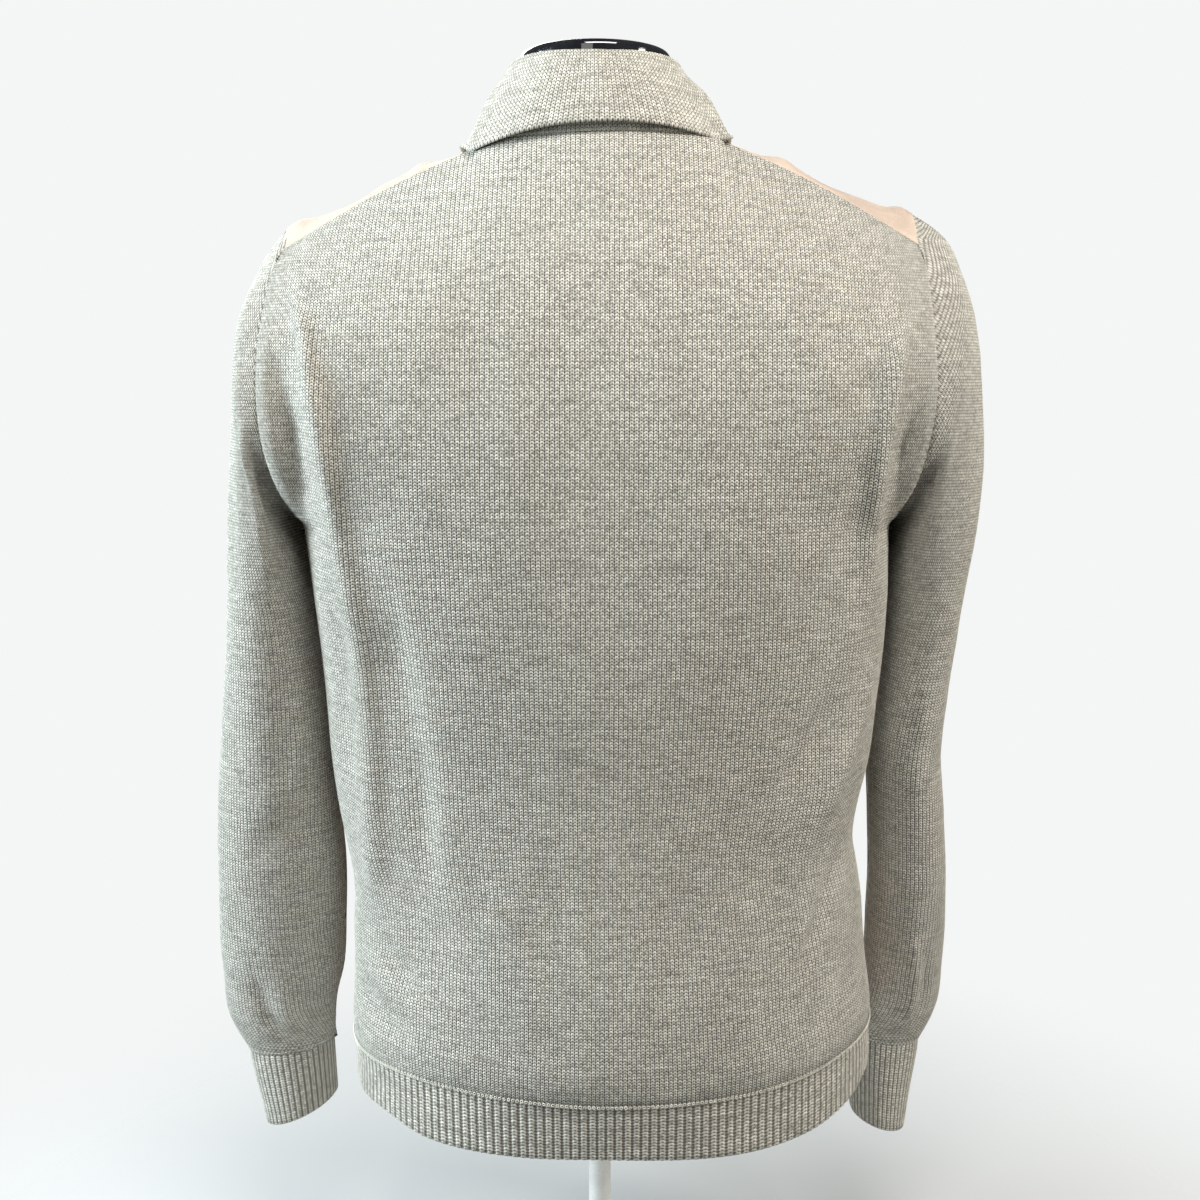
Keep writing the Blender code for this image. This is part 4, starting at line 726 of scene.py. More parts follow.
def knitStitchGroup():
    # arched stitches in columns, from a map in whole stitches: light legs, painted shade in the
    # gaps between them, and the mixed light and dark fibres of a melange yarn
    tree, start, end = newTree("knitStitch", "ShaderNodeTree", [
        ("Map", "Vector", None),
        ("Light", "Color", (0.6, 0.6, 0.5, 1)),
        ("Dark", "Color", (0.3, 0.3, 0.25, 1)),
        ("Gap", "Color", (0.1, 0.1, 0.08, 1)),
        ("Spread", "Float", 1.0),
        ("Lean", "Float", 0.55),
        ("Mottle", "Float", 0.7),
    ], [("Color", "Color"), ("Height", "Float"),
        ("Roughness", "Float")])
    split = place(tree, "ShaderNodeSeparateXYZ", Vector=start.outputs["Map"])
    wale, course = split.outputs[0], split.outputs[1]
    cell = calc(tree, "FRACT", wale)
    off = calc(tree, "ABSOLUTE", calc(tree, "SUBTRACT", cell, 0.5))
    off = calc(tree, "MINIMUM", calc(tree, "MULTIPLY", off, start.outputs["Spread"]), 0.5)
    bow = calc(tree, "POWER", calc(tree, "MULTIPLY", off, 2.0), 1.3)
    row = calc(tree, "ADD", course, calc(tree, "MULTIPLY", bow, start.outputs["Lean"]))
    along = calc(tree, "SINE", calc(tree, "MULTIPLY", calc(tree, "FRACT", row), math.pi))
    hollow = calc(tree, "SUBTRACT", 1.0, calc(tree, "POWER", along, 1.1))
    # the hollow is deepest under the middle of each arch and again between wales
    ripple = calc(tree, "COSINE", calc(tree, "MULTIPLY", off, 4 * math.pi))
    depth = calc(tree, "MULTIPLY_ADD", ripple, 0.27, 0.71)
    arch = calc(tree, "SUBTRACT", 1.0, calc(tree, "MULTIPLY", hollow, depth))
    line = shape(tree, off, 0.30, 0.5, 1.0, 0.5)
    body = calc(tree, "MULTIPLY", arch, line)
    # every leg has its own tone
    which = calc(tree, "FLOOR", calc(tree, "MULTIPLY", wale, 2.0))
    spot = place(tree, "ShaderNodeCombineXYZ", X=which, Y=calc(tree, "FLOOR", row))
    own = place(tree, "ShaderNodeTexWhiteNoise", Vector=spot.outputs[0])
    fine = vectorCalc(tree, "MULTIPLY", start.outputs["Map"], (2.6, 1.3, 1.0))
    fibre = place(tree, "ShaderNodeTexNoise", Vector=fine, Scale=1.0, Detail=3.0)
    # yarn tone drifts along the courses more than across them
    drift = vectorCalc(tree, "MULTIPLY", start.outputs["Map"], (0.14, 0.55, 1.0))
    cloud = place(tree, "ShaderNodeTexNoise", Vector=drift, Scale=1.0, Detail=3.0)
    tone = calc(tree, "MULTIPLY_ADD", calc(tree, "SUBTRACT", own.outputs["Value"], 0.5),
                start.outputs["Mottle"], 0.5)
    tone = calc(tree, "MULTIPLY_ADD", calc(tree, "SUBTRACT", fibre.outputs[0], 0.5), 1.5, tone)
    tone = calc(tree, "MULTIPLY_ADD", calc(tree, "SUBTRACT", cloud.outputs[0], 0.5), 0.75, tone)
    yarn = mixColour(tree, shape(tree, tone, 0.0, 1.0, smooth=False), start.outputs["Dark"],
                     start.outputs["Light"])
    # painted shade: where legs part, between wales and between courses, the colour goes to the
    # gap shade
    covered = shape(tree, body, 0.24, 0.86)
    fill(tree, end, Color=mixColour(tree, covered, start.outputs["Gap"], yarn),
         Height=calc(tree, "MULTIPLY_ADD", fibre.outputs[0], 0.25, body),
         Roughness=calc(tree, "MULTIPLY_ADD", covered, -0.08, 0.98))
    return tree


def grainGroup():
    # fine grain with slow uneven tone, for suede, metal and painted pieces
    tree, start, end = newTree("fineGrain", "ShaderNodeTree", [
        ("Place", "Vector", None),
        ("Light", "Color", (0.8, 0.8, 0.8, 1)),
        ("Dark", "Color", (0.5, 0.5, 0.5, 1)),
        ("Grain", "Float", 900.0),
        ("Patch", "Float", 30.0),
        ("Patchiness", "Float", 0.5),
        ("Rough Low", "Float", 0.8),
        ("Rough High", "Float", 0.95),
    ], [("Color", "Color"), ("Height", "Float"),
        ("Roughness", "Float")])
    fine = place(tree, "ShaderNodeTexNoise", Vector=start.outputs["Place"],
                 Scale=start.outputs["Grain"], Detail=3.0, Roughness=0.6)
    patch = place(tree, "ShaderNodeTexNoise", Vector=start.outputs["Place"],
                  Scale=start.outputs["Patch"], Detail=3.0, Distortion=0.8)
    tone = calc(tree, "MULTIPLY_ADD", calc(tree, "SUBTRACT", patch.outputs[0], 0.5),
                calc(tree, "MULTIPLY", start.outputs["Patchiness"], 2.0), fine.outputs[0])
    share = shape(tree, tone, 0.25, 0.75)
    fill(tree, end, Color=mixColour(tree, share, start.outputs["Dark"], start.outputs["Light"]),
         Height=calc(tree, "MULTIPLY_ADD", patch.outputs[0], 0.3, fine.outputs[0]),
         Roughness=shape(tree, share, 0.0, 1.0, start.outputs["Rough Low"],
                         start.outputs["Rough High"], False))
    return tree


def weaveGroup():
    # twill of fine threads, for the zip tapes and the form's cover
    tree, start, end = newTree("fineWeave", "ShaderNodeTree", [
        ("Place", "Vector", None),
        ("Light", "Color", (0.8, 0.8, 0.8, 1)),
        ("Dark", "Color", (0.5, 0.5, 0.5, 1)),
        ("Thread", "Float", 0.0006),
    ], [("Color", "Color"), ("Height", "Float"),
        ("Roughness", "Float")])
    split = place(tree, "ShaderNodeSeparateXYZ", Vector=start.outputs["Place"])
    step = calc(tree, "DIVIDE", 2 * math.pi, start.outputs["Thread"])
    level = calc(tree, "ADD", split.outputs[0], split.outputs[1])
    across = calc(tree, "SINE", calc(tree, "MULTIPLY", level, step))
    diagonal = calc(tree, "ADD", split.outputs[2], calc(tree, "MULTIPLY", level, 0.5))
    along = calc(tree, "SINE", calc(tree, "MULTIPLY", diagonal, step))
    both = calc(tree, "MULTIPLY_ADD", calc(tree, "MULTIPLY", across, along), 0.5, 0.5)
    slub = place(tree, "ShaderNodeTexNoise", Vector=start.outputs["Place"], Scale=160.0,
                 Detail=2.0)
    tone = calc(tree, "MULTIPLY_ADD", slub.outputs[0], 0.5, calc(tree, "MULTIPLY", both, 0.5))
    fill(tree, end, Color=mixColour(tree, tone, start.outputs["Dark"], start.outputs["Light"]),
         Height=both, Roughness=shape(tree, both, 0.0, 1.0, 0.95, 0.82, False))
    return tree


def finish(name, group, values, where="object", bump=(0.5, 0.0004), shader=None):
    # one material: a group's colour, height and roughness into one shader
    mat = bpy.data.materials.new(name)
    mat.use_nodes = True
    tree = mat.node_tree
    surface = tree.nodes["Principled BSDF"]
    node = place(tree, "ShaderNodeGroup", as_node_tree=group)
    for key, value in values.items():
        node.inputs[key].default_value = value
    if where == "stitchMap":
        source = place(tree, "ShaderNodeUVMap", as_uv_map="stitchMap").outputs[0]
        tree.links.new(source, node.inputs["Map"])
    else:
        source = place(tree, "ShaderNodeTexCoord").outputs["Object"]
        tree.links.new(source, node.inputs["Place"])
    raised = place(tree, "ShaderNodeBump", Strength=bump[0], Distance=bump[1],
                   Height=node.outputs["Height"])
    fill(tree, surface, Base_Color=node.outputs["Color"], Roughness=node.outputs["Roughness"],
         Normal=raised.outputs[0])
    for key, value in (shader or {}).items():
        surface.inputs[key].default_value = value
    return mat


knitStitch = knitStitchGroup()
fineGrain = grainGroup()
fineWeave = weaveGroup()

woolLight = (0.93, 0.895, 0.80, 1)
woolDark = (0.25, 0.236, 0.196, 1)
# painted shade that fills the gaps between stitches, darker than any yarn
woolGapShade = (0.045, 0.040, 0.031, 1)
woolShader = {"Sheen Weight": 0.18, "Sheen Roughness": 0.6, "Sheen Tint": (1, 0.98, 0.92, 1),
              "Specular IOR Level": 0.15}
bodyKnit = finish("bodyKnit", knitStitch, {
    "Light": woolLight, "Dark": woolDark, "Gap": woolGapShade, "Mottle": 0.42,
}, "stitchMap", (0.75, 0.0007), woolShader)
# painted shade in the collar's stitch gaps, lighter than in the body
collarKnit = finish("collarKnit", knitStitch, {
    "Light": woolLight, "Dark": woolDark, "Gap": (0.09, 0.084, 0.067, 1), "Mottle": 0.42,
}, "stitchMap", (0.6, 0.0006), woolShader)
# painted shade in the furrows between ribs, lighter than in the body
ribKnit = finish("ribKnit", knitStitch, {
    "Light": woolLight, "Dark": woolDark, "Gap": (0.14, 0.13, 0.105, 1), "Spread": 1.2,
    "Lean": 0.45, "Mottle": 0.40,
}, "stitchMap", (0.7, 0.0007), woolShader)
yarn = finish("linkingYarn", fineGrain, {
    "Light": (0.90, 0.875, 0.78, 1), "Dark": (0.60, 0.575, 0.49, 1), "Grain": 1500.0,
    "Patch": 120.0, "Patchiness": 0.5, "Rough Low": 0.85, "Rough High": 0.95,
}, "object", (0.4, 0.0002), woolShader)
suede = finish("suede", fineGrain, {
    "Light": (0.70, 0.565, 0.465, 1), "Dark": (0.53, 0.415, 0.335, 1), "Grain": 1100.0,
    "Patch": 40.0, "Patchiness": 0.4, "Rough Low": 0.88, "Rough High": 0.98,
}, "object", (0.35, 0.0003), {
    "Sheen Weight": 0.35, "Sheen Roughness": 0.45, "Sheen Tint": (1.0, 0.93, 0.84, 1),
    "Specular IOR Level": 0.1})
suedeThread = finish("suedeThread", fineGrain, {
    "Light": (0.74, 0.58, 0.45, 1), "Dark": (0.56, 0.41, 0.30, 1), "Grain": 2400.0,
    "Patch": 90.0, "Patchiness": 0.3, "Rough Low": 0.5, "Rough High": 0.7,
}, "object", (0.4, 0.0001), {"Sheen Weight": 0.1})
zipTape = finish("zipTape", fineWeave, {
    "Light": (0.60, 0.53, 0.43, 1), "Dark": (0.36, 0.31, 0.25, 1), "Thread": 0.0007,
}, "object", (0.6, 0.0002))
nickel = finish("brushedNickel", fineGrain, {
    "Light": (0.80, 0.79, 0.76, 1), "Dark": (0.60, 0.585, 0.56, 1), "Grain": 1400.0,
    "Patch": 200.0, "Patchiness": 0.4, "Rough Low": 0.22, "Rough High": 0.38,
}, "object", (0.15, 0.00005), {"Metallic": 1.0})
formCover = finish("formCover", fineWeave, {
    "Light": (0.80, 0.77, 0.70, 1), "Dark": (0.62, 0.59, 0.53, 1), "Thread": 0.0012,
}, "object", (0.4, 0.0003), {"Sheen Weight": 0.1})
capGloss = finish("capGloss", fineGrain, {
    "Light": (0.012, 0.013, 0.016, 1), "Dark": (0.006, 0.007, 0.009, 1), "Grain": 500.0,
    "Patch": 30.0, "Patchiness": 0.6, "Rough Low": 0.05, "Rough High": 0.11,
}, "object", (0.03, 0.0002), {"Coat Weight": 0.6, "Coat Roughness": 0.04,
                              "Specular IOR Level": 0.7})
footPaint = finish("footPaint", fineGrain, {
    "Light": (0.80, 0.79, 0.76, 1), "Dark": (0.70, 0.69, 0.66, 1), "Grain": 700.0,
    "Patch": 25.0, "Patchiness": 0.6, "Rough Low": 0.34, "Rough High": 0.5,
}, "object", (0.12, 0.0001), {"Coat Weight": 0.2, "Coat Roughness": 0.2})
print("finishes ready")

raiseWales = raiseWalesTree()
sewAlong = sewAlongTree()

# the back

# slow and quick unevenness: noise scale and height
backCut = dict(wall=0.0024, lowRows=46, highRows=36, reliefDepth=0.00030, perWale=4,
               slow=(16.0, 0.0016), quick=(42.0, 0.0006), seamSink=0.0005,
               flat=(0.52, 0.62), area=0.27)
# hollows beside the armholes, pushed in toward the front: (across, height, depth, half width), mm
backHollows = inMetres([
    [(205, 655, 0, 11), (198, 604, -7.5, 12), (190, 559, -19, 12), (187, 520, -19, 12),
     (187, 480, -8, 10), (187, 450, 0, 8)],
    [(-206, 650, 0, 12), (-199, 590, -6, 13), (-191, 545, -20, 13), (-187, 508, -16, 11),
     (-187, 455, 0, 9)],
])
# finer folds of the back: paths of (across, height, ridge height, half width), mm
backCreases = inMetres([
    [(190, 645, 0, 6), (183, 618, 5.6, 7), (174, 578, 6.2, 7), (165, 515, 5.2, 7),
     (155, 452, 5.4, 8), (148, 365, 4, 8), (149, 273, 4.4, 9), (150, 235, 0, 9)],
    [(196, 632, 0, 5), (188, 612, -4.9, 6), (182, 585, -1.5, 7)],
    [(176, 470, 0, 6), (168, 420, -3, 7), (165, 350, -2.3, 7), (166, 290, 0, 6)],
    [(137, 480, 0, 9), (128, 420, -4.2, 11), (118, 360, -3.8, 11), (112, 300, -4.6, 10),
     (108, 262, 0, 8)],
    [(150, 228, 0, 5), (140, 214, -3.8, 6), (126, 203, -3.4, 5), (119, 197, 0, 4)],
    [(168, 185, 0, 4), (156, 177, -3.4, 5), (136, 170, -3, 5), (118, 168, 0, 4)],
    [(162, 203, 0, 6), (148, 196, 3, 6), (128, 186, 2.3, 6), (110, 182, 0, 5)],
    [(-190, 640, 0, 6), (-180, 598, 5, 7), (-173, 545, 6.4, 7), (-170, 490, 5, 7),
     (-174, 437, 0, 7)],
    [(-160, 560, 0, 10), (-157, 500, -2.3, 11), (-162, 430, 0, 10)],
    [(-182, 405, 0, 8), (-172, 370, 4.6, 9), (-148, 322, 3.8, 9), (-128, 290, 0, 8)],
    [(-156, 402, 0, 8), (-142, 372, -3.8, 9), (-122, 338, -2.7, 9), (-108, 318, 0, 8)],
    [(-162, 282, 0, 6), (-150, 255, -4.6, 7), (-138, 226, -4.2, 6), (-127, 203, 0, 5)],
    [(-148, 262, 0, 6), (-134, 232, 3, 7), (-120, 205, 0, 6)],
    [(-182, 212, 0, 5), (-168, 190, -2.7, 6), (-150, 176, 0, 5)],
    [(40, 640, 0, 16), (52, 560, 1.7, 18), (46, 470, 0, 16)],
    [(-95, 660, 0, 12), (-102, 600, -1.7, 14), (-98, 530, 0, 13)],
    [(-40, 300, 0, 18), (-52, 240, -2, 18), (-44, 180, 0, 15)],
    [(50, 290, 0, 16), (60, 230, 2, 18), (54, 175, 0, 14)],
])


def turnsByHeight(first, last, count):
    # armhole angles whose rows stand evenly between armpit and shoulder
    out = []
    for n in range(count + 1):
        lo, hi = first, last
        for step in range(40):
            mid = (lo + hi) / 2
            if climb(mid) < n / count:
                lo = mid
            else:
                hi = mid
        out.append((lo + hi) / 2)
    out[0], out[-1] = first, last
    return out


def arcShares(points):
    # running length along a line of points
    steps = np.linalg.norm(np.diff(points, axis=0), axis=1)
    return np.concatenate([[0.0], np.cumsum(steps)])


def calmEnds(rows, low, high, skip=1):
    # 0 at the first and the last row, rising to 1 over so many rows
    at = np.arange(rows)
    return np.clip(at / low, 0, 1) * np.clip((rows - skip - at) / high, 0, 1)


def waleColumns(pointAt, first, last, width, perWale, whole=True):
    # parameter values that part a row into wales of even width, and their wale numbers
    fine = np.linspace(first, last, 1600)
    run = arcShares(np.array([pointAt(t) for t in fine]))
    wales = max(2, round(run[-1] / width)) if whole else run[-1] / width
    numbers = np.arange(0, int(wales * perWale) + 1) / perWale
    return np.interp(numbers / wales * run[-1], run, fine), numbers


def bodyBlouse(face, u, z):
    # the body swells a little just above the hem seam
    above = z - hemLine(face, "top", u)
    return cut["blouseRise"] * math.exp(-((above - cut["blouseUp"]) / cut["blouseSpread"]) ** 2)


def buildBack():
    us, wales = waleColumns(lambda u: lowerBody(1, u, -0.3, False), 1.0, -1.0,
                            cut["waleWidth"], backCut["perWale"])
    lowVs = np.linspace(-1, 0, backCut["lowRows"] + 1)
    turns = turnsByHeight(180, 20, backCut["highRows"])[1:]
    rows = [[lowerBody(1, u, v) for u in us] for v in lowVs]
    rows += [[upperBack(u, t) for u in us] for t in turns]
    grid = np.array([[tuple(p) for p in line] for line in rows])
    x, z = grid[..., 0], grid[..., 2]
    lift = creaseField(x, z, backCreases)
    lift += np.array([[bodyBlouse(1, u, p.z) for u, p in zip(us, line)] for line in rows])
    lift += unevenField(grid, *backCut["slow"], 1) + unevenField(grid, *backCut["quick"], 2)
    calm = (1 - np.abs(us) ** 18)[None, :] * calmEnds(len(rows), 3.0, 4.0)[:, None]
    normals = gridNormals(grid)
    grid = grid + normals * (lift * calm)[..., None]
    grid[..., 1] += creaseField(x, z, backHollows) * calm
    middle = len(us) // 2
    course = arcShares(grid[:, middle]) / cut["courseHeight"]
    heights = grid[:, middle, 2]
    seam = np.array([hemLine(1, "top", u) for u in us])
    flatZ = z - (seam - seam[middle])[None, :] * np.clip(1 - (z - 0.14) / 0.12, 0, 1)
    courses = np.interp(flatZ, heights, course)
    courses += np.maximum(flatZ - heights[-1], 0) / cut["courseHeight"]
    relief = np.ones(z.shape)
    relief[[0, -1]] = 0
    relief[:, [0, -1]] = 0
    grid = sinkEdges(grid, gridNormals(grid), "dulr", backCut["seamSink"], cut["drawBack"])
    # above the armpits the wales run on straight and the armhole cuts across them
    wide = np.where(us[None, :] > 0, grid[:, :1, 0], grid[:, -1:, 0])
    base = wide[backCut["lowRows"]]
    ratio = np.where(np.arange(len(rows))[:, None] > backCut["lowRows"], wide / base, 1.0)
    waleField = wales[middle] + (wales - wales[middle])[None, :] * ratio
    obj = clothWall("backPanel", grid, backCut["wall"], waleField, courses, relief)
    return runNodes(obj, raiseWales, {"Depth": backCut["reliefDepth"], "Yarn": bodyKnit})


def dress(obj, nodes, body="jacket"):
    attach(obj, body)
    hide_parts(*nodes)
    return obj


back = dress(buildBack(), ["back"])
print("back made", len(back.data.polygons))

# the sleeves

sleeveCut = dict(wall=0.0024, reliefDepth=0.00036, flat=(0.33, 0.60), area=0.125,
                 lowRows=52, capRows=20, capFrom=3, capRounds=8, perWale=4, waleShare=0.98,
                 slow=(20.0, 0.0014), quick=(50.0, 0.0005), seamSink=0.0006, seamUnder=-0.0030,
                 roundRadius=0.045,      # turns are counted as lengths round this radius
                 firstWale=400.5)        # keeps every wale number above 0
# folds of the sleeves: paths of (turn in degrees, then height, ridge height, half width in mm)
leftSleeveCreases = [
    [(125, 362, 0, 4), (124, 345, 2.9, 5), (116, 312, 2.2, 5), (112, 298, 0, 4)],
    [(66, 262, 0, 6), (88, 272, -3.2, 7), (120, 279, -2.9, 7), (142, 286, 0, 6)],
    [(60, 298, 0, 8), (90, 302, 2.5, 9), (128, 312, 0, 8)],
    [(66, 172, 0, 5), (76, 153, -3.2, 6), (95, 118, -2.5, 5), (104, 107, 0, 4)],
    [(92, 168, 0, 5), (100, 146, 2.9, 6), (116, 120, 1.8, 5), (122, 109, 0, 4)],
    [(96, 585, 0, 6), (100, 540, 3.6, 7), (102, 495, 3.2, 7), (108, 440, 0, 6)],
    [(120, 560, 0, 6), (126, 520, -4, 8), (128, 470, -2.5, 8), (130, 430, 0, 6)],
    [(40, 560, 0, 10), (52, 500, -1.6, 12), (48, 420, 0, 10)],
    [(250, 520, 0, 8), (262, 470, 3.6, 9), (258, 410, 0, 8)],
    [(232, 300, 0, 7), (262, 288, -3.2, 8), (300, 292, 0, 7)],
    [(300, 180, 0, 6), (280, 150, 2.9, 7), (262, 118, 0, 5)],
    [(328, 400, 0, 9), (336, 340, -2.2, 10), (330, 280, 0, 9)],
]
rightSleeveCreases = [
    [(94, 196, 0, 5), (90, 180, 3.2, 6), (84, 160, 4, 6), (84, 130, 2.9, 5), (86, 104, 0, 4)],
    [(74, 185, 0, 5), (68, 160, -2.9, 6), (70, 122, 0, 5)],
    [(104, 600, 0, 6), (110, 560, 3.2, 8), (114, 500, 1.8, 8), (118, 450, 0, 7)],
    [(122, 560, 0, 6), (130, 522, -4.3, 8), (134, 470, -2.2, 8), (134, 440, 0, 6)],
    [(60, 430, 0, 9), (84, 405, -2.5, 10), (120, 396, 0, 9)],
    [(66, 330, 0, 8), (92, 318, 2.5, 9), (126, 322, 0, 8)],
    [(64, 262, 0, 7), (90, 250, -2.2, 8), (118, 252, 0, 7)],
    [(30, 560, 0, 10), (38, 490, 1.6, 12), (32, 420, 0, 10)],
    [(248, 520, 0, 8), (260, 460, 3.2, 9), (256, 400, 0, 8)],
    [(236, 310, 0, 7), (270, 296, -3.2, 8), (306, 300, 0, 7)],
    [(298, 176, 0, 6), (278, 146, 2.9, 7), (260, 114, 0, 5)],
]


def buildSleeve(side, name):
    # wales run down from the shoulder; the row loses wales at the seam under the arm
    capFrom = sleeveCut["capFrom"]
    ks = np.concatenate([np.linspace(14, capFrom, sleeveCut["lowRows"]),
                         np.linspace(capFrom, 0, sleeveCut["capRows"])[1:]])
    fineTurns = np.linspace(-180, 180, 241)
    width = cut["waleWidth"] * sleeveCut["waleShare"]
    profiles = []
    for k in ks:
        line = np.array([tuple(sleevePoint(side, k, t)) for t in fineTurns])
        run = arcShares(line)
        profiles.append((line, run - run[len(fineTurns) // 2]))
    reach = max(max(-p[1][0], p[1][-1]) for p in profiles)
    count = int(reach / width * sleeveCut["perWale"]) + 1
    numbers = np.arange(-count, count + 1) / sleeveCut["perWale"]
    if side < 0:
        numbers = numbers[::-1]
    grid, turns = [], []
    for line, run in profiles:
        spots = np.clip(numbers * width, run[0] + cut["drawBack"], run[-1] - cut["drawBack"])
        grid.append(np.stack([np.interp(spots, run, line[:, c]) for c in range(3)], -1))
        turns.append(np.interp(spots, run, fineTurns))
    grid, turns = np.array(grid), np.array(turns)
    for step in range(sleeveCut["capRounds"]):
        # the cap rolls over its seam without a corner
        smooth = grid.copy()
        smooth[1:-1] = grid[1:-1] * 0.5 + (grid[:-2] + grid[2:]) * 0.25
        atCap = np.clip((ks - 0.25) / 0.5, 0, 1) * np.clip((capFrom - ks) / 0.5, 0, 1)
        grid = grid + (smooth - grid) * atCap[:, None, None]
    creases = leftSleeveCreases if side > 0 else rightSleeveCreases
    radius = sleeveCut["roundRadius"]
    wrapped = [[(math.radians(t) * radius, z / 1000, h / 1000, w / 1000) for t, z, h, w in path]
               for path in creases]
    lift = creaseField(np.radians(turns % 360) * radius, grid[..., 2], wrapped)
    lift += (unevenField(grid, *sleeveCut["slow"], 3 + side)
             + unevenField(grid, *sleeveCut["quick"], 7 + side))
    calm = calmEnds(len(ks), 4.0, 7.0)
    seamCalm = np.clip((180 - np.abs(turns)) / 14, 0, 1)
    grid = grid + gridNormals(grid) * (lift * calm[:, None] * seamCalm)[..., None]
    outerLine = np.array([tuple(sleevePoint(side, k, 0)) for k in ks])
    course = arcShares(outerLine) / cut["courseHeight"]
    courses = np.interp(grid[..., 2], outerLine[:, 2], course)
    wales = np.stack([np.clip(numbers, run[0] / width, run[-1] / width) for _, run in profiles])
    relief = np.ones(wales.shape)
    relief[[0, -1]] = 0
    relief[np.abs(turns) > 177] = 0
    # both ends run on a little way under their seams
    grid = sinkEdges(grid, gridNormals(grid), "du", sleeveCut["seamSink"],
                     sleeveCut["seamUnder"])
    wales = wales + sleeveCut["firstWale"]
    obj = clothWall(name, grid, sleeveCut["wall"], wales, courses, relief)
    return runNodes(obj, raiseWales, {"Depth": sleeveCut["reliefDepth"], "Yarn": bodyKnit})


for side, word in bothSides:
    piece = dress(buildSleeve(side, word + "Sleeve"),
                  ["sleeve_upper_" + word, "sleeve_lower_" + word])
    print(word, "sleeve made", len(piece.data.polygons))

# the suede fronts

frontCut = dict(wall=0.0014, lowRows=44, highRows=30, crownRows=7, neckColumns=24,
                sideColumns=47, neckRounds=60, slow=(14.0, 0.0018), quick=(60.0, 0.0005),
                seamSink=0.0003, mapStep=0.003, flat=(0.30, 0.66), area=0.150,
                # how much each of the top rows takes of the uneven edge
                crest=(0.35, 0.8, 1.0, 0.9, 0.7, 0.5, 0.3, 0.12, 0.0))
ridgeBumps = [   # (across, height, half width) of the suede's uneven top edge
    (0.117, 0.0026, 0.009), (0.142, 0.0012, 0.010), (0.166, -0.0012, 0.010),
    (0.199, 0.0030, 0.008), (-0.120, 0.0024, 0.009), (-0.150, -0.0008, 0.010),
    (-0.176, 0.0010, 0.009), (-0.199, 0.0036, 0.007),
]
frontCreases = inMetres([
    [(178, 600, 0, 8), (168, 540, 4.2, 10), (160, 450, 3.1, 11), (150, 340, 0, 10)],
    [(190, 580, 0, 7), (184, 530, -4.8, 9), (176, 450, 0, 8)],
    [(120, 470, 0, 12), (128, 390, -2.3, 14), (122, 300, 0, 12)],
    [(150, 250, 0, 8), (128, 210, -3.1, 9), (108, 186, 0, 8)],
    [(60, 360, 0, 16), (68, 270, 2.3, 18), (60, 180, 0, 14)],
    [(-180, 600, 0, 8), (-170, 530, 3.9, 10), (-162, 440, 2.8, 11), (-154, 350, 0, 10)],
    [(-190, 570, 0, 7), (-184, 520, -4.5, 9), (-178, 440, 0, 8)],
    [(-118, 500, 0, 12), (-126, 400, -2.3, 14), (-116, 310, 0, 12)],
    [(-158, 300, 0, 9), (-138, 245, 3.1, 10), (-120, 200, 0, 9)],
    [(-58, 330, 0, 16), (-64, 250, -2.1, 18), (-58, 180, 0, 14)],
])


def frontColumns():
    # columns crowd toward the neck point and toward the armhole
    edge = cut["frontEdge"] / cut["shoulderHalf"]
    neck = cut["neckHalf"] / cut["shoulderHalf"]
    near, far = frontCut["neckColumns"], frontCut["sideColumns"]
    inner = [edge + (neck - edge) * math.sin(math.radians(90 * n / near))
             for n in range(near + 1)]
    outer = [neck + (1 - neck) * (1 - (1 - n / far) ** 1.25) for n in range(1, far + 1)]
    return inner + outer


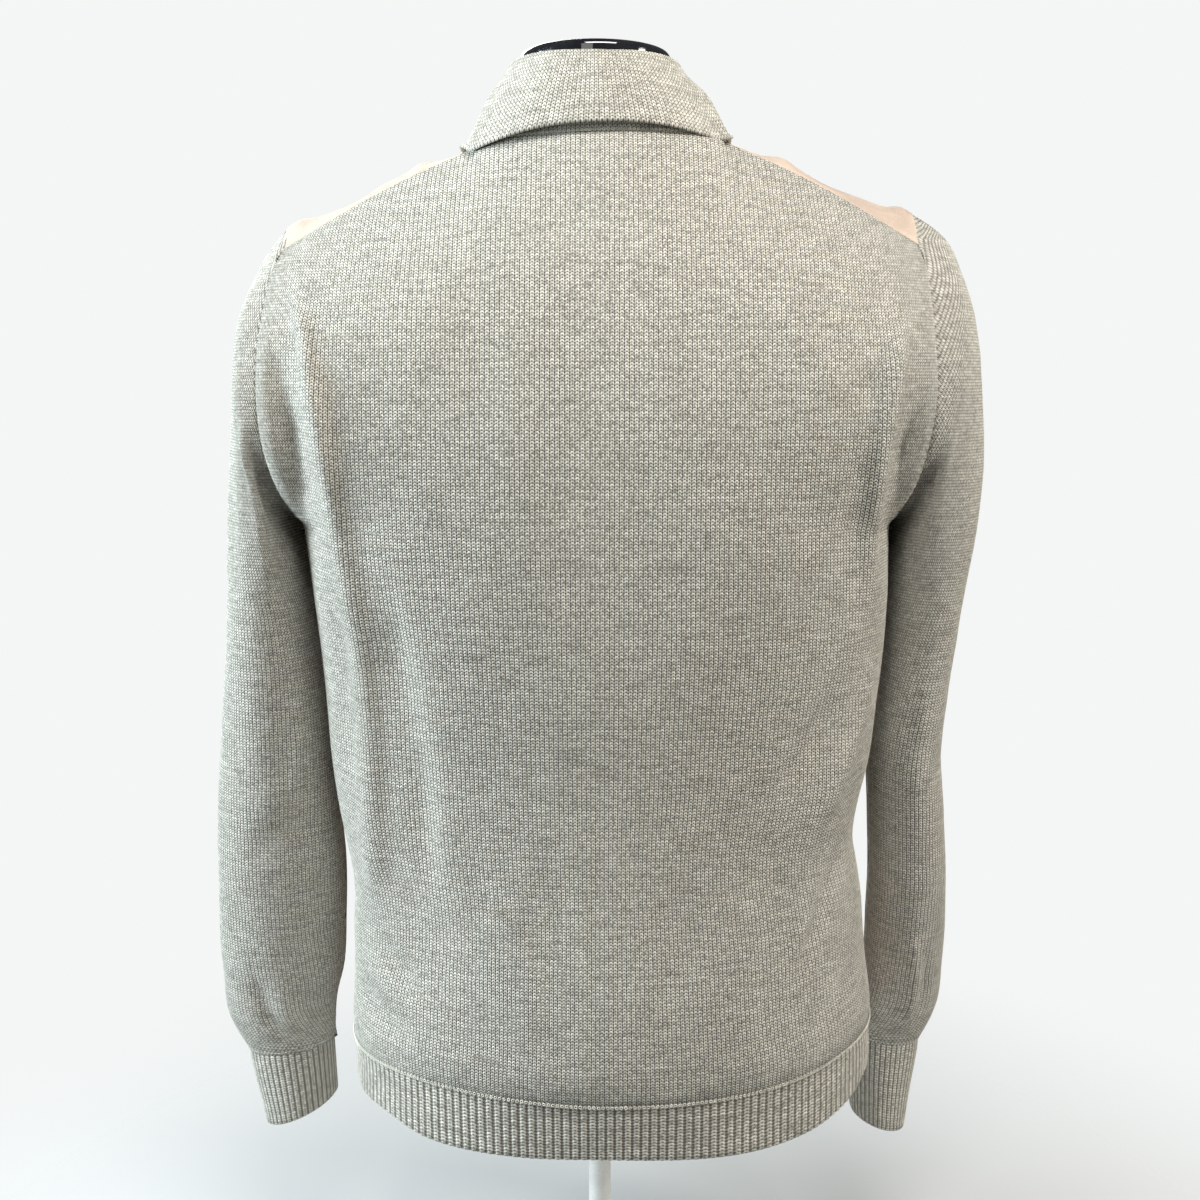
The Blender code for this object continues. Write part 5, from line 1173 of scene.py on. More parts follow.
def buildFront(side, name):
    us = frontColumns()
    turns = turnsByHeight(180.001, 359.0, frontCut["highRows"])[1:-1] + [360]
    turns += [360 + 20 * (n + 1) / frontCut["crownRows"] for n in range(frontCut["crownRows"])]
    rows = [[lowerBody(-1, side * u, v) for u in us]
            for v in np.linspace(-1, 0, frontCut["lowRows"] + 1)]
    rows += [[upperFront(side * u, t) for u in us] for t in turns]
    grid = np.array([[tuple(p) for p in line] for line in rows])
    grid[:, 0, 0] = side * cut["frontEdge"]
    params = np.array(us) * side
    if side < 0:
        grid = grid[:, ::-1]
        params = params[::-1]
    # the cloth below the neck point hangs without a kink
    at = np.arange(len(rows))
    near = np.exp(-((np.abs(grid[..., 0]) - cut["neckHalf"]) / 0.03) ** 2)
    near *= (np.clip((at - frontCut["lowRows"] + 4) / 10.0, 0, 1)
             * np.clip((len(rows) - frontCut["crownRows"] - 5 - at) / 6.0, 0, 1))[:, None]
    for step in range(frontCut["neckRounds"]):
        between = (grid[:, :-2] + grid[:, 2:]) / 2
        grid[:, 1:-1] += (between - grid[:, 1:-1]) * near[:, 1:-1, None]
    x, z = grid[..., 0], grid[..., 2]
    lift = creaseField(x, z, frontCreases)
    lift += (unevenField(grid, *frontCut["slow"], 11 + side)
             + unevenField(grid, *frontCut["quick"], 13))
    crestRows = len(frontCut["crest"])
    calm = calmEnds(len(rows), 3.0, 5.0, crestRows)
    inside = np.clip((np.abs(x) - 0.006) / 0.02, 0, 1) * (1 - np.abs(params) ** 10)[None, :]
    normals = gridNormals(grid)
    lift = lift * calm[:, None] * inside
    swell = np.array([[bodyBlouse(-1, u, p) for u, p in zip(params, line)] for line in z])
    lift += swell * inside
    # the seam allowance makes the top edge lumpy
    crest = np.zeros(len(rows))
    crest[-crestRows:] = frontCut["crest"]
    bumps = sum(h * np.exp(-((x - a) / w) ** 2) for a, h, w in ridgeBumps)
    lift += bumps * crest[:, None]
    grid = grid + normals * lift[..., None]
    grid = sinkEdges(grid, gridNormals(grid), "dulr", frontCut["seamSink"], cut["drawBack"])
    noRelief = np.zeros(x.shape)
    obj = clothWall(name, grid, frontCut["wall"], x / frontCut["mapStep"],
                    z / frontCut["mapStep"], noRelief, 2, 3)
    obj.data.materials.append(suede)
    return obj


fronts = {}
for side, word in bothSides:
    piece = dress(buildFront(side, word + "SuedeFront"), ["front_" + word])
    fronts[side] = piece
    print(word, "front made", len(piece.data.polygons))

# neck band and collar

collarCut = dict(wall=0.0022, band=0.008, fold=0.0026, leafClear=0.0028, leafSwell=0.0012,
                 shift=0.003, sideDrop=0.0035, leafRows=20, foldRows=9, standRows=8, sections=73,
                 waleWidth=0.00295, perWale=4, widthRow=6, uneven=(24.0, 0.0009),
                 shoulderAt=118, shoulderReach=24, evenRounds=8, layRounds=4,
                 reliefDepth=0.00022, bandRelief=0.0003,
                 flat=(0.50, 0.085), bandFlat=(0.47, 0.010))
foldLine = table("psi x y z", [
    (0, 0, 62, 789), (30, 28, 55.5, 789.5), (60, 47.5, 34, 790), (90, 53.5, 3, 789),
    (120, 47.5, -26, 777), (150, 30, -46, 752), (180, 7.5, -55, 725),
])
leafBack = table("psi x y z", [
    (0, 0, 75.2, 745.6), (10, 15.5, 74.3, 745.3), (20, 30.5, 71.6, 744.2),
    (30, 45, 67.5, 742.4), (45, 62.8, 56.8, 739.3), (60, 77, 43, 736.8),
    (75, 84.8, 23.8, 737.2), (90, 87.5, 4, 740.5),
])
leafFront = table("psi u turn", [
    (90, 0.42, 356), (112.5, 0.425, 341), (135, 0.39, 330), (157.5, 0.31, 322),
    (180, 0.235, 313),
])
neckU = cut["neckHalf"] / cut["shoulderHalf"]


def neckSeam(psi):
    side = 1 if psi >= 0 else -1
    q = math.sin(math.radians(abs(psi)))
    u = side * neckU * q
    y, z = topLine(u)
    x = cut["shoulderHalf"] * u
    if abs(psi) > 90:
        c = math.sqrt(max(1 - q * q, 0))
        y = cut["neckY"] - cut["neckFront"] * c
        z -= cut["neckRise"] * c + cut["neckDrop"] * (1 - q)
    if abs(x) < cut["frontEdge"] and abs(psi) > 90:
        x = side * cut["frontEdge"]
    return Vector((x, y, z))


def panelNormal(u, turn):
    across = upperFront(u + 0.01, turn) - upperFront(u - 0.01, turn)
    along = upperFront(u, turn + 2) - upperFront(u, turn - 2)
    return across.cross(along).normalized()


def bandLine(psi):
    # neck seam, top of the neck band, and the outward direction across the band
    side = 1 if psi >= 0 else -1
    a = abs(psi)
    fade = 1 - ease((a - 90) / 60)
    crest = Vector((side * read(foldLine, "psi", "x", a) + collarCut["shift"] * fade,
                    read(foldLine, "psi", "y", a), read(foldLine, "psi", "z", a)))
    seam = neckSeam(psi)
    out = Vector((side * math.sin(math.radians(a)), math.cos(math.radians(a)), 0))
    fold = collarCut["fold"]
    standTop = crest - out * (fold - collarCut["wall"]) - Vector((0, 0, fold))
    rise = (standTop - seam).normalized()
    lean = (out - rise * out.dot(rise)).normalized()
    return crest, seam, out, standTop, seam + rise * collarCut["band"], lean


def groundTree():
    # what the leaf lies over: the fronts round the neck, and the neck band
    ground = []
    for stepU in range(-22, 23):
        for turn in range(292, 381, 4):
            u = stepU * 0.025 or 0.001
            ground.append((upperFront(u, turn), panelNormal(u, turn)))
    for psi in range(-180, 181, 6):
        crest, seam, out, standTop, bandTop, lean = bandLine(psi)
        ground += [(seam.lerp(bandTop, t), lean) for t in (0, 0.5, 1)]
    tree = kdtree.KDTree(len(ground))
    for n, (p, normal) in enumerate(ground):
        tree.insert(p, n)
    tree.balance()
    return ground, tree


ground, groundKd = groundTree()


def layOver(p):
    clear = collarCut["wall"] + collarCut["leafClear"]
    for step in range(collarCut["layRounds"]):
        q, n = ground[groundKd.find(p)[1]]
        high = (p - q).dot(n)
        if high < clear:
            p = p + n * (clear - high)
    return p


def leafSide(side, a, lean):
    # the leaf's edge over the back and the side of the neck
    return Vector((side * read(leafBack, "psi", "x", a) + collarCut["shift"],
                   read(leafBack, "psi", "y", a),
                   read(leafBack, "psi", "z", a) - collarCut["sideDrop"] * lean))


def collarSection(psi):
    # outer face of the collar from the leaf's edge over the fold down to the neck band
    side = 1 if psi >= 0 else -1
    a = abs(psi)
    crest, seam, out, standTop, bandTop, lean = bandLine(psi)
    up = Vector((0, 0, 1))
    wall = collarCut["wall"]
    if a <= 90:
        edge = leafSide(side, a, out.x)
    else:
        u = side * read(leafFront, "psi", "u", a)
        turn = read(leafFront, "psi", "turn", a)
        clear = wall + collarCut["leafClear"]
        edge = upperFront(u, turn) + panelNormal(u, turn) * clear
        firstU, firstTurn = side * leafFront["u"][0], leafFront["turn"][0]
        first = upperFront(firstU, firstTurn) + panelNormal(firstU, firstTurn) * clear
        edge += (leafSide(side, 90, side) - first) * (1 - ease((a - 90) / 40))
    fold = collarCut["fold"]
    outer = crest + out * fold - up * fold
    leaf = []
    for n in range(collarCut["leafRows"]):
        t = 1 - n / collarCut["leafRows"]
        swell = collarCut["leafSwell"] * math.sin(math.pi * t)
        leaf.append(outer.lerp(edge, t) + out * swell)
    if a > 60:
        rows = len(leaf)
        leaf = [p.lerp(layOver(p), ease((a - 60) / 14) * ease((rows - n) / rows * 2.5 - 0.25))
                for n, p in enumerate(leaf)]
    turned = []
    for n in range(collarCut["foldRows"] + 1):
        angle = math.pi * n / collarCut["foldRows"]
        turned.append(crest - up * fold + out * fold * math.cos(angle)
                      + up * fold * math.sin(angle))
    low = bandTop - lean * wall
    high = standTop - lean * wall
    stand = [high.lerp(low, (n + 1) / collarCut["standRows"]) for n in
             range(collarCut["standRows"])]
    return leaf + turned + stand, seam, bandTop, lean


def smoothAlong(grid, fineSpots, spots):
    # a smooth curve through each row's points, read at finer spots
    h = np.diff(spots)
    slope = np.gradient(grid, spots, axis=1)
    i = np.clip(np.searchsorted(spots, fineSpots) - 1, 0, len(spots) - 2)
    s = ((fineSpots - spots[i]) / h[i])[None, :, None]
    wide = h[i][None, :, None]
    return hermite(s, grid[:, i], slope[:, i] * wide, grid[:, i + 1], slope[:, i + 1] * wide)


def smoothOverShoulders(coarse, angles):
    # the leaf's edge runs over each shoulder in one smooth line, clear of the fronts
    rows = collarCut["leafRows"]
    middle, reach = collarCut["shoulderAt"], collarCut["shoulderReach"]
    share = (1 - np.arange(rows) / rows)[:, None]
    share = share * np.exp(-((np.abs(angles[1:-1]) - middle) / reach) ** 4)[None, :]
    leaf = coarse[:rows]

    def evenOut():
        for step in range(collarCut["evenRounds"]):
            between = (leaf[:, :-2] + leaf[:, 2:]) / 2
            leaf[:, 1:-1] += (between - leaf[:, 1:-1]) * share[..., None]

    for step in range(2):
        evenOut()
        for n in range(rows // 2):
            for k, a in enumerate(angles):
                if abs(abs(a) - middle) < reach:
                    leaf[n, k] = layOver(Vector(leaf[n, k]))
    evenOut()


def buildCollar():
    # sections from the wearer's left front edge round the back to the right one
    angles = np.linspace(180, -180, collarCut["sections"])
    angles[len(angles) // 2] = 0
    sections = [collarSection(a) for a in angles]
    coarse = np.array([[tuple(s[0][j]) for s in sections] for j in range(len(sections[0][0]))])
    smoothOverShoulders(coarse, angles)
    bandCoarse = np.array([[tuple(s[1].lerp(s[2], t)) for s in sections]
                           for t in (0, 0.25, 0.5, 0.75, 1)])
    spots = np.linspace(0, 1, len(angles))
    fine = np.linspace(0, 1, 1200)
    widthRow = collarCut["widthRow"]
    run = arcShares(smoothAlong(coarse[widthRow:widthRow + 1], fine, spots)[0])
    wales = round(run[-1] / collarCut["waleWidth"])
    numbers = np.arange(wales * collarCut["perWale"] + 1) / collarCut["perWale"]
    fineSpots = np.interp(numbers / wales * run[-1], run, fine)
    grid = smoothAlong(coarse, fineSpots, spots)
    rows = grid.shape[0]
    middle = grid.shape[1] // 2
    course = arcShares(grid[:, middle]) / cut["courseHeight"]
    courses = np.repeat(course[:, None], grid.shape[1], 1)
    lift = unevenField(grid, *collarCut["uneven"], 21)
    calm = np.clip(np.arange(rows) / 3.0, 0.4, 1) * (np.arange(rows) < collarCut["leafRows"] + 4)
    grid = grid + gridNormals(grid) * (lift * calm[:, None])[..., None]
    relief = np.ones(courses.shape)
    relief[[0, 1]] = 0.5
    relief[-1] = 0
    relief[:, [0, -1]] = 0
    walesAt = np.repeat(numbers[None, :], rows, 0)
    obj = clothWall("knitCollar", grid, collarCut["wall"], walesAt, courses, relief, 2, 8, 0.5)
    collar = runNodes(obj, raiseWales, {"Depth": collarCut["reliefDepth"], "Yarn": collarKnit})
    band = smoothAlong(bandCoarse, fineSpots, spots)
    bandCourse = np.repeat(np.linspace(0, 4, 5)[:, None], band.shape[1], 1)
    bandRelief = np.ones(bandCourse.shape)
    bandRelief[[0, -1]] = 0
    bandRelief[:, [0, -1]] = 0
    bandObj = clothWall("neckBand", sinkEdges(band, gridNormals(band), "d", 0.0003, 0.0002),
                        collarCut["wall"], walesAt[:5], bandCourse, bandRelief, 2, 8)
    bandObj = runNodes(bandObj, raiseWales, {"Depth": collarCut["bandRelief"],
                                             "Yarn": collarKnit})
    return collar, bandObj, band


collar, neckBand, bandGrid = buildCollar()
dress(collar, ["collar"])
dress(neckBand, ["neck_band"])
print("collar made", len(collar.data.polygons))

# ribbed hem and cuffs

ribCut = dict(wall=0.0016, hemRibs=180, cuffRibs=42, rows=15, courseHeight=0.0021,
              hemRaise=0.0008, hemInset=0.0018, hemTop=0.004, hemHalf=0.176,
              hemUneven=(18.0, 0.0012), hemFlat=(1.03, 0.042),
              cuffRaise=0.0007, cuffInset=0.0010, cuffTop=0.008, cuffTurn=179.7,
              cuffUneven=(26.0, 0.0010), cuffFlat=(0.205, 0.060))


def ribNumbers(ribs):
    # columns crowd at each rib's two sides
    shares = [0.0, 0.10, 0.20, 0.33, 0.5, 0.67, 0.80, 0.90]
    return np.array([n + s for n in range(ribs) for s in shares] + [ribs])


def ribWall(name, grid, numbers, raiseBy, dip):
    wales = np.repeat(numbers[None, :], len(grid), 0)
    height = arcShares(grid[:, len(numbers) // 2])
    courses = np.repeat((height / ribCut["courseHeight"])[:, None], len(numbers), 1)
    relief = np.ones(wales.shape)
    relief[0] = 0.75
    relief[-1] = 0.35
    obj = clothWall(name, grid, ribCut["wall"], wales, courses, relief, 3, 16, 0.5)
    return runNodes(obj, raiseWales, {"Depth": raiseBy, "Spread": 1.15, "Dip": dip,
                                      "Yarn": ribKnit})


def buildHem():
    opening = (cut["frontEdge"] + cut["drawBack"]) / ribCut["hemHalf"]
    end = 180 - math.degrees(math.asin(opening))
    fine = np.linspace(end, -end, 1441)
    run = arcShares(np.array([tuple(hemPoint(a, 0.5)) for a in fine]))
    numbers = ribNumbers(ribCut["hemRibs"])
    betas = np.interp(numbers / ribCut["hemRibs"] * run[-1], run, fine)
    shares = np.linspace(1.0, ribCut["hemTop"], ribCut["rows"])
    grid = np.array([[tuple(hemPoint(b, f, ribCut["hemInset"])) for b in betas] for f in shares])
    # the band waves a little between its seam and its edge
    wave = unevenField(grid, *ribCut["hemUneven"], 31)
    fade = np.clip((1 - shares) * 3, 0, 1) * np.clip(shares * 3, 0, 1)
    grid = grid + gridNormals(grid) * (wave * fade[:, None])[..., None]
    return ribWall("hemRib", grid, numbers, ribCut["hemRaise"], 0.14)


def buildCuff(side, name):
    top, lastTurn = ribCut["cuffTop"], ribCut["cuffTurn"]
    ks = np.linspace(2, top, ribCut["rows"] + 3)
    numbers = ribNumbers(ribCut["cuffRibs"])
    turns = -180 + numbers / ribCut["cuffRibs"] * 360
    turns = np.clip(turns, -lastTurn, lastTurn)
    if side < 0:
        turns = turns[::-1]
    inset = ribCut["cuffInset"]
    grid = np.array([[tuple(cuffPoint(side, k, t, inset)) for t in turns] for k in ks])
    wave = unevenField(grid, *ribCut["cuffUneven"], 35 + side)
    fade = np.clip((180 - np.abs(turns)) / 20, 0, 1)[None, :]
    fade = fade * np.clip((ks - top) * 3, 0, 1)[:, None]
    grid = grid + gridNormals(grid) * (wave * fade)[..., None]
    return ribWall(name, grid, numbers, ribCut["cuffRaise"], 0.12)


hem = dress(buildHem(), ["hem_rib"])
for side, word in bothSides:
    piece = dress(buildCuff(side, word + "Cuff"), ["cuff_" + word])
print("ribbed bands made", len(hem.data.polygons))

# sewing


def tubeMesh(name, path, radius, sides=5, closed=False):
    # small thread shape from a path of points
    bm = bmesh.new()
    rings = []
    count = len(path)
    for n, p in enumerate(path):
        p = Vector(p)
        a = Vector(path[n - 1 if n or closed else 0])
        b = Vector(path[(n + 1) % count if n < count - 1 or closed else n])
        onward = (b - a).normalized()
        side = onward.cross(Vector((0, 0, 1)))
        side = side.normalized() if side.length > 0.01 else Vector((0, 1, 0))
        up = side.cross(onward)
        thin = radius if closed or 0 < n < count - 1 else radius * 0.45
        rings.append([bm.verts.new(p + (side * math.cos(2 * math.pi * i / sides)
                                        + up * math.sin(2 * math.pi * i / sides)) * thin)
                      for i in range(sides)])
    pairs = list(zip(rings, rings[1:])) + ([(rings[-1], rings[0])] if closed else [])
    for low, high in pairs:
        for i in range(sides):
            k = (i + 1) % sides
            bm.faces.new((low[i], low[k], high[k], high[i]))
    if not closed:
        bm.faces.new(rings[0][::-1])
        bm.faces.new(rings[-1])
    bmesh.ops.recalc_face_normals(bm, faces=bm.faces)
    return addObject(name, meshOf(bm, name))


def pathObject(name, points, outwards):
    # a line of points that carries its outward direction for the sewing tree
    mesh = bpy.data.meshes.new(name)
    lifted = [(p[0], p[1], p[2] + cut["stand"]) for p in points]
    mesh.from_pydata(lifted, [(i, i + 1) for i in range(len(points) - 1)], [])
    data = mesh.attributes.new("outward", "FLOAT_VECTOR", "POINT").data
    data.foreach_set("vector", np.array(outwards, float).ravel())
    return addObject(name, mesh)


def sew(name, points, outwards, stitch, thread, **values):
    obj = pathObject(name, points, outwards)
    settings = {"Stitch": stitch, "Thread": thread}
    settings.update(values)
    return runNodes(obj, sewAlong, settings)


def joinPieces(name, pieces):
    # several sewn rows become one piece
    bm = bmesh.new()
    mats = list(pieces[0].data.materials)
    for piece in pieces:
        bm.from_mesh(piece.data)
    mesh = meshOf(bm, name)
    for mat in mats:
        mesh.materials.append(mat)
    shade(mesh)
    for piece in pieces:
        bpy.data.objects.remove(piece)
    return addObject(name, mesh)


stitches = dict(
    loop=tubeMesh("loopStitch", [(0.00105 * math.cos(t), 0.00085 * math.sin(t), 0.0)
                                 for t in [2 * math.pi * n / 8 for n in range(8)]],
                  0.00036, 5, True),
    bar=tubeMesh("barStitch", [(-0.0013, 0, -0.0002), (-0.0007, 0, 0.00012), (0.0007, 0, 0.00012),
                               (0.0013, 0, -0.0002)], 0.00026, 6),
    short=tubeMesh("shortStitch", [(0, -0.0010, -0.0004), (0, -0.0004, 0.0001),
                                   (0, 0.0004, 0.0001), (0, 0.0010, -0.0004)], 0.00032, 5),
)


# how each row is sewn, and where the rows of the armholes and front edges lie
sewCut = dict(
    hem=dict(Pitch=0.00287, Unevenness=0.28, Size=0.92),
    cuff=dict(Pitch=0.0028, Unevenness=0.25, Size=0.75, Lift=-0.0004),
    neck=dict(Pitch=0.0027, Unevenness=0.2, Size=0.8),
    armhole=dict(Pitch=0.0029, Unevenness=0.30, Size=0.85),
    edge=dict(Pitch=0.0034, Unevenness=0.05),
    armholeSlant=0.35, armholeRise=-0.0006, edgeU=0.058, edgeIn=0.0058,
)


def surfaceLine(pointAt, values, rise=0.0):
    # points and outward directions along a rim; pointAt gives (point, outward)
    points, outs = [], []
    for value in values:
        p, n = pointAt(value)
        points.append(tuple(p + n * rise))
        outs.append(tuple(n))
    return points, outs


def hemSeamAt(beta):
    p = hemPoint(beta, 0.0, -0.0002)
    across = hemPoint(beta - 0.5, 0.0) - hemPoint(beta + 0.5, 0.0)
    return p, across.cross(Vector((0, 0, 1))).normalized()


def cuffSeamAt(side):
    def at(turn):
        p = cuffPoint(side, 0.0, turn, -0.0006)
        middle = (cuffPoint(side, 0, 0) + cuffPoint(side, 0, 180)) / 2
        out = p - middle
        out.z *= 0.3
        return p, out.normalized()
    return at


def sewKnit():
    rows = []
    points, outs = surfaceLine(hemSeamAt, np.linspace(174, -174, 500))
    rows.append(sew("hemLinking", points, outs, stitches["loop"], yarn, Seed=3,
                    **sewCut["hem"]))
    for side in (1, -1):
        points, outs = surfaceLine(cuffSeamAt(side), np.linspace(-179, 179, 160))
        rows.append(sew("cuffLinking", points, outs, stitches["loop"], yarn, Seed=5 + side,
                        **sewCut["cuff"]))
    # chain row where the neck band meets the back and fronts
    low, high = bandGrid[0], bandGrid[2]
    across = np.gradient(low, axis=0)
    outs = np.cross(across, high - low)
    outs /= np.linalg.norm(outs, axis=1, keepdims=True)
    points = low + (high - low) * 0.15 + outs * 0.0004
    rows.append(sew("neckLinking", points[6:-6].tolist(), outs[6:-6].tolist(),
                    stitches["loop"], yarn, Seed=9, **sewCut["neck"]))
    return joinPieces("linkingRows", rows)


def armholeSeamAt(side):
    middle = (armhole(side, 0) + armhole(side, 180)) / 2 - Vector((side * 0.03, 0, 0))

    def at(turn):
        p = armhole(side, turn)
        body = sleevePoint(side, 0.25, turn) - p
        if 20 <= turn <= 180:
            panel = upperBack(side * 0.97, turn) - p
        else:
            panel = upperFront(side * 0.97, turn if turn > 180 else 360 + turn) - p
        onward = armhole(side, turn + 2) - armhole(side, turn - 2)
        n = (body.normalized() - panel.normalized()).cross(onward)
        if n.dot(p - middle) < 0:
            n = -n
        return p, n.normalized()
    return at


def sewArmholes():
    rows = []
    for side in (1, -1):
        points, outs = surfaceLine(armholeSeamAt(side), np.linspace(22, 338, 240),
                                   sewCut["armholeRise"])
        rows.append(sew("armholeSewing", points, outs, stitches["short"], yarn, Seed=12 + side,
                        Slant=sewCut["armholeSlant"] * side, **sewCut["armhole"]))
    return joinPieces("armholeSeams", rows)


def sewFronts():
    # a row of stitches runs down each front's turned edge
    rows = []
    for side in (1, -1):
        spots = [("low", v) for v in np.linspace(-0.985, 0, 60)]
        spots += [("up", t) for t in turnsByHeight(180.001, 359.0, 40)[1:-3]]

        def edgeAt(spot):
            kind, value = spot
            u = side * sewCut["edgeU"]
            if kind == "low":
                p = lowerBody(-1, u, value)
                a = lowerBody(-1, u + 0.01, value) - lowerBody(-1, u - 0.01, value)
                b = lowerBody(-1, u, value + 0.01) - lowerBody(-1, u, value - 0.01)
            else:
                p = upperFront(u, value)
                a = upperFront(u + 0.01, value) - upperFront(u - 0.01, value)
                b = upperFront(u, value + 1) - upperFront(u, value - 1)
            p.x = side * (cut["frontEdge"] + sewCut["edgeIn"])
            return p, a.cross(b).normalized()

        points, outs = surfaceLine(edgeAt, spots, 0.0001)
        rows.append(sew("edgeSewing", points, outs, stitches["bar"], suedeThread,
                        Seed=20 + side, **sewCut["edge"]))
    return joinPieces("frontEdgeStitching", rows)


linking = sewKnit()
armSeams = sewArmholes()
edgeRows = sewFronts()
for piece in (linking, armSeams, edgeRows):
    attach(piece, "jacket")
    print(piece.name, "made", len(piece.data.polygons))

# zip

zipCut = dict(toothPitch=0.0024, sink=-0.0004, firstTooth=0.0008, chainTop=322)


def toothMesh(name, side):
    # one metal tooth: clamped round the tape's cord outside, a rounded head past the middle
    outline = [(0.0030, -0.00052), (0.0012, -0.00052), (0.0004, -0.00085), (-0.0006, -0.00060),
               (-0.0009, 0.0), (-0.0006, 0.00060), (0.0004, 0.00085), (0.0012, 0.00052),
               (0.0030, 0.00052)]
    bm = bmesh.new()
    levels = []
    for z, shrink in ((-0.0024, 0.8), (-0.0021, 1.0), (-0.0003, 1.0), (0.0, 0.72)):
        levels.append([bm.verts.new((side * (0.0010 + (x - 0.0010) * shrink), y * shrink, z))
                       for x, y in outline])
    for low, high in zip(levels, levels[1:]):
        for i in range(len(outline)):
            k = (i + 1) % len(outline)
            bm.faces.new((low[i], low[k], high[k], high[i]))
    bm.faces.new(levels[0][::-1])
    bm.faces.new(levels[-1])
    bmesh.ops.recalc_face_normals(bm, faces=bm.faces)
    return addObject(name, meshOf(bm, name))


def middleAt(spot):
    kind, value = spot
    if kind == "hem":
        return hemPoint(180, value)
    return lowerBody(-1, 0.0, value) if kind == "low" else upperFront(0.0, value)


def zipLine():
    spots = [("hem", f) for f in np.linspace(1.0, 0.02, 12)]
    spots += [("low", v) for v in np.linspace(-1, 0, 50)]
    turns = [t for t in turnsByHeight(180.001, 359.0, 40)[1:] if t <= zipCut["chainTop"]]
    spots += [("up", t) for t in turns]
    line = [Vector((0, *middleAt(s).yz)) for s in spots]
    # the chain ends under the slider, along the slider's own slope
    mid = Vector((0, *middleAt(("up", 360)).yz))
    up = (middleAt(("up", 380)) - middleAt(("up", 341))).normalized()
    line += [mid + up * -0.0080, mid + up * 0.0026]
    return line


def buildTeeth():
    line = zipLine()
    outs = []
    for n in range(len(line)):
        step = line[min(n + 1, len(line) - 1)] - line[max(n - 1, 0)]
        outs.append(Vector((0, -step.z, step.y)).normalized())
    run = arcShares(np.array([tuple(p) for p in line]))
    pieces = []
    first = zipCut["firstTooth"]
    for side, begin in ((1, first), (-1, first + zipCut["toothPitch"] / 2)):
        spots = np.linspace(begin, run[-1] - 0.001, 500)
        points = np.stack([np.interp(spots, run, [p[c] for p in line]) for c in range(3)], -1)
        normals = np.stack([np.interp(spots, run, [p[c] for p in outs]) for c in range(3)], -1)
        normals /= np.linalg.norm(normals, axis=1, keepdims=True)
        points = points - normals * zipCut["sink"]
        tooth = toothMesh("tooth", side)
        # the sewing tree lays a piece's own x along the path, so the tooth is turned across it
        tooth.data.transform(Euler((0, 0, math.radians(90)), "XYZ").to_matrix().to_4x4())
        pieces.append(sew("teeth", points.tolist(), normals.tolist(), tooth, nickel,
                          Pitch=zipCut["toothPitch"], Unevenness=0.0))
        bpy.data.objects.remove(tooth)
    teeth = joinPieces("zipTeeth", pieces)
    shade(teeth.data, False)
    return teeth


def carried(node, name, mat, bevel=0.0, level=0):
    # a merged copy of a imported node, softened at its edges
    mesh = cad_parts[node].data.copy()
    mesh.name = name
    bm = bmesh.new()
    bm.from_mesh(mesh)
    bmesh.ops.remove_doubles(bm, verts=bm.verts, dist=1e-5)
    bmesh.ops.dissolve_limit(bm, angle_limit=math.radians(1.0), verts=bm.verts, edges=bm.edges)
    bm.to_mesh(mesh)
    bm.free()
    mesh.materials.clear()
    mesh.materials.append(mat)
    obj = addObject(name, mesh)
    if bevel:
        step = obj.modifiers.new("softEdges", "BEVEL")
        step.width = bevel
        step.segments = 2
        step.limit_method = "ANGLE"
        step.angle_limit = math.radians(32)
        step.harden_normals = True
    if level:
        step = obj.modifiers.new("smooth", "SUBSURF")
        step.levels = level
        step.render_levels = level
    shade(mesh)
    graph = bpy.context.evaluated_depsgraph_get()
    done = bpy.data.meshes.new_from_object(obj.evaluated_get(graph), depsgraph=graph)
    obj.modifiers.clear()
    obj.data = done
    return obj


teeth = dress(buildTeeth(), ["zip_chain"])
dress(carried("zip_slider", "zipSlider", nickel, 0.00035), ["zip_slider"])
dress(carried("zip_pull", "zipPull", nickel, 0.00025), ["zip_pull"], "pull")
for word in ("left", "right"):
    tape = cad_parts["zip_tape_" + word]
    tape.data.materials.clear()
    tape.data.materials.append(zipTape)
print("zip made", len(teeth.data.polygons))

# dress form

capCut = dict(radius=0.0490, low=0.7503, top=0.7985, round=0.004, centre=(0.003, 0.003))


def latheMesh(name, profile, centre, mat, segments=96):
    # a closed turned piece from (radius, height) pairs
    bm = bmesh.new()
    loops = []
    for r, z in profile:
        if r < 1e-6:
            loops.append([bm.verts.new((centre[0], centre[1], z))])
            continue
        loops.append([bm.verts.new((centre[0] + r * math.cos(2 * math.pi * i / segments),
                                    centre[1] + r * math.sin(2 * math.pi * i / segments), z))
                      for i in range(segments)])
    for a, b in zip(loops, loops[1:]):
        for i in range(segments):
            k = (i + 1) % segments
            if len(a) == 1:
                bm.faces.new((a[0], b[k], b[i]))
            elif len(b) == 1:
                bm.faces.new((a[i], a[k], b[0]))
            else:
                bm.faces.new((a[i], a[k], b[k], b[i]))
    bmesh.ops.recalc_face_normals(bm, faces=bm.faces)
    mesh = meshOf(bm, name)
    mesh.materials.append(mat)
    shade(mesh)
    return addObject(name, mesh)


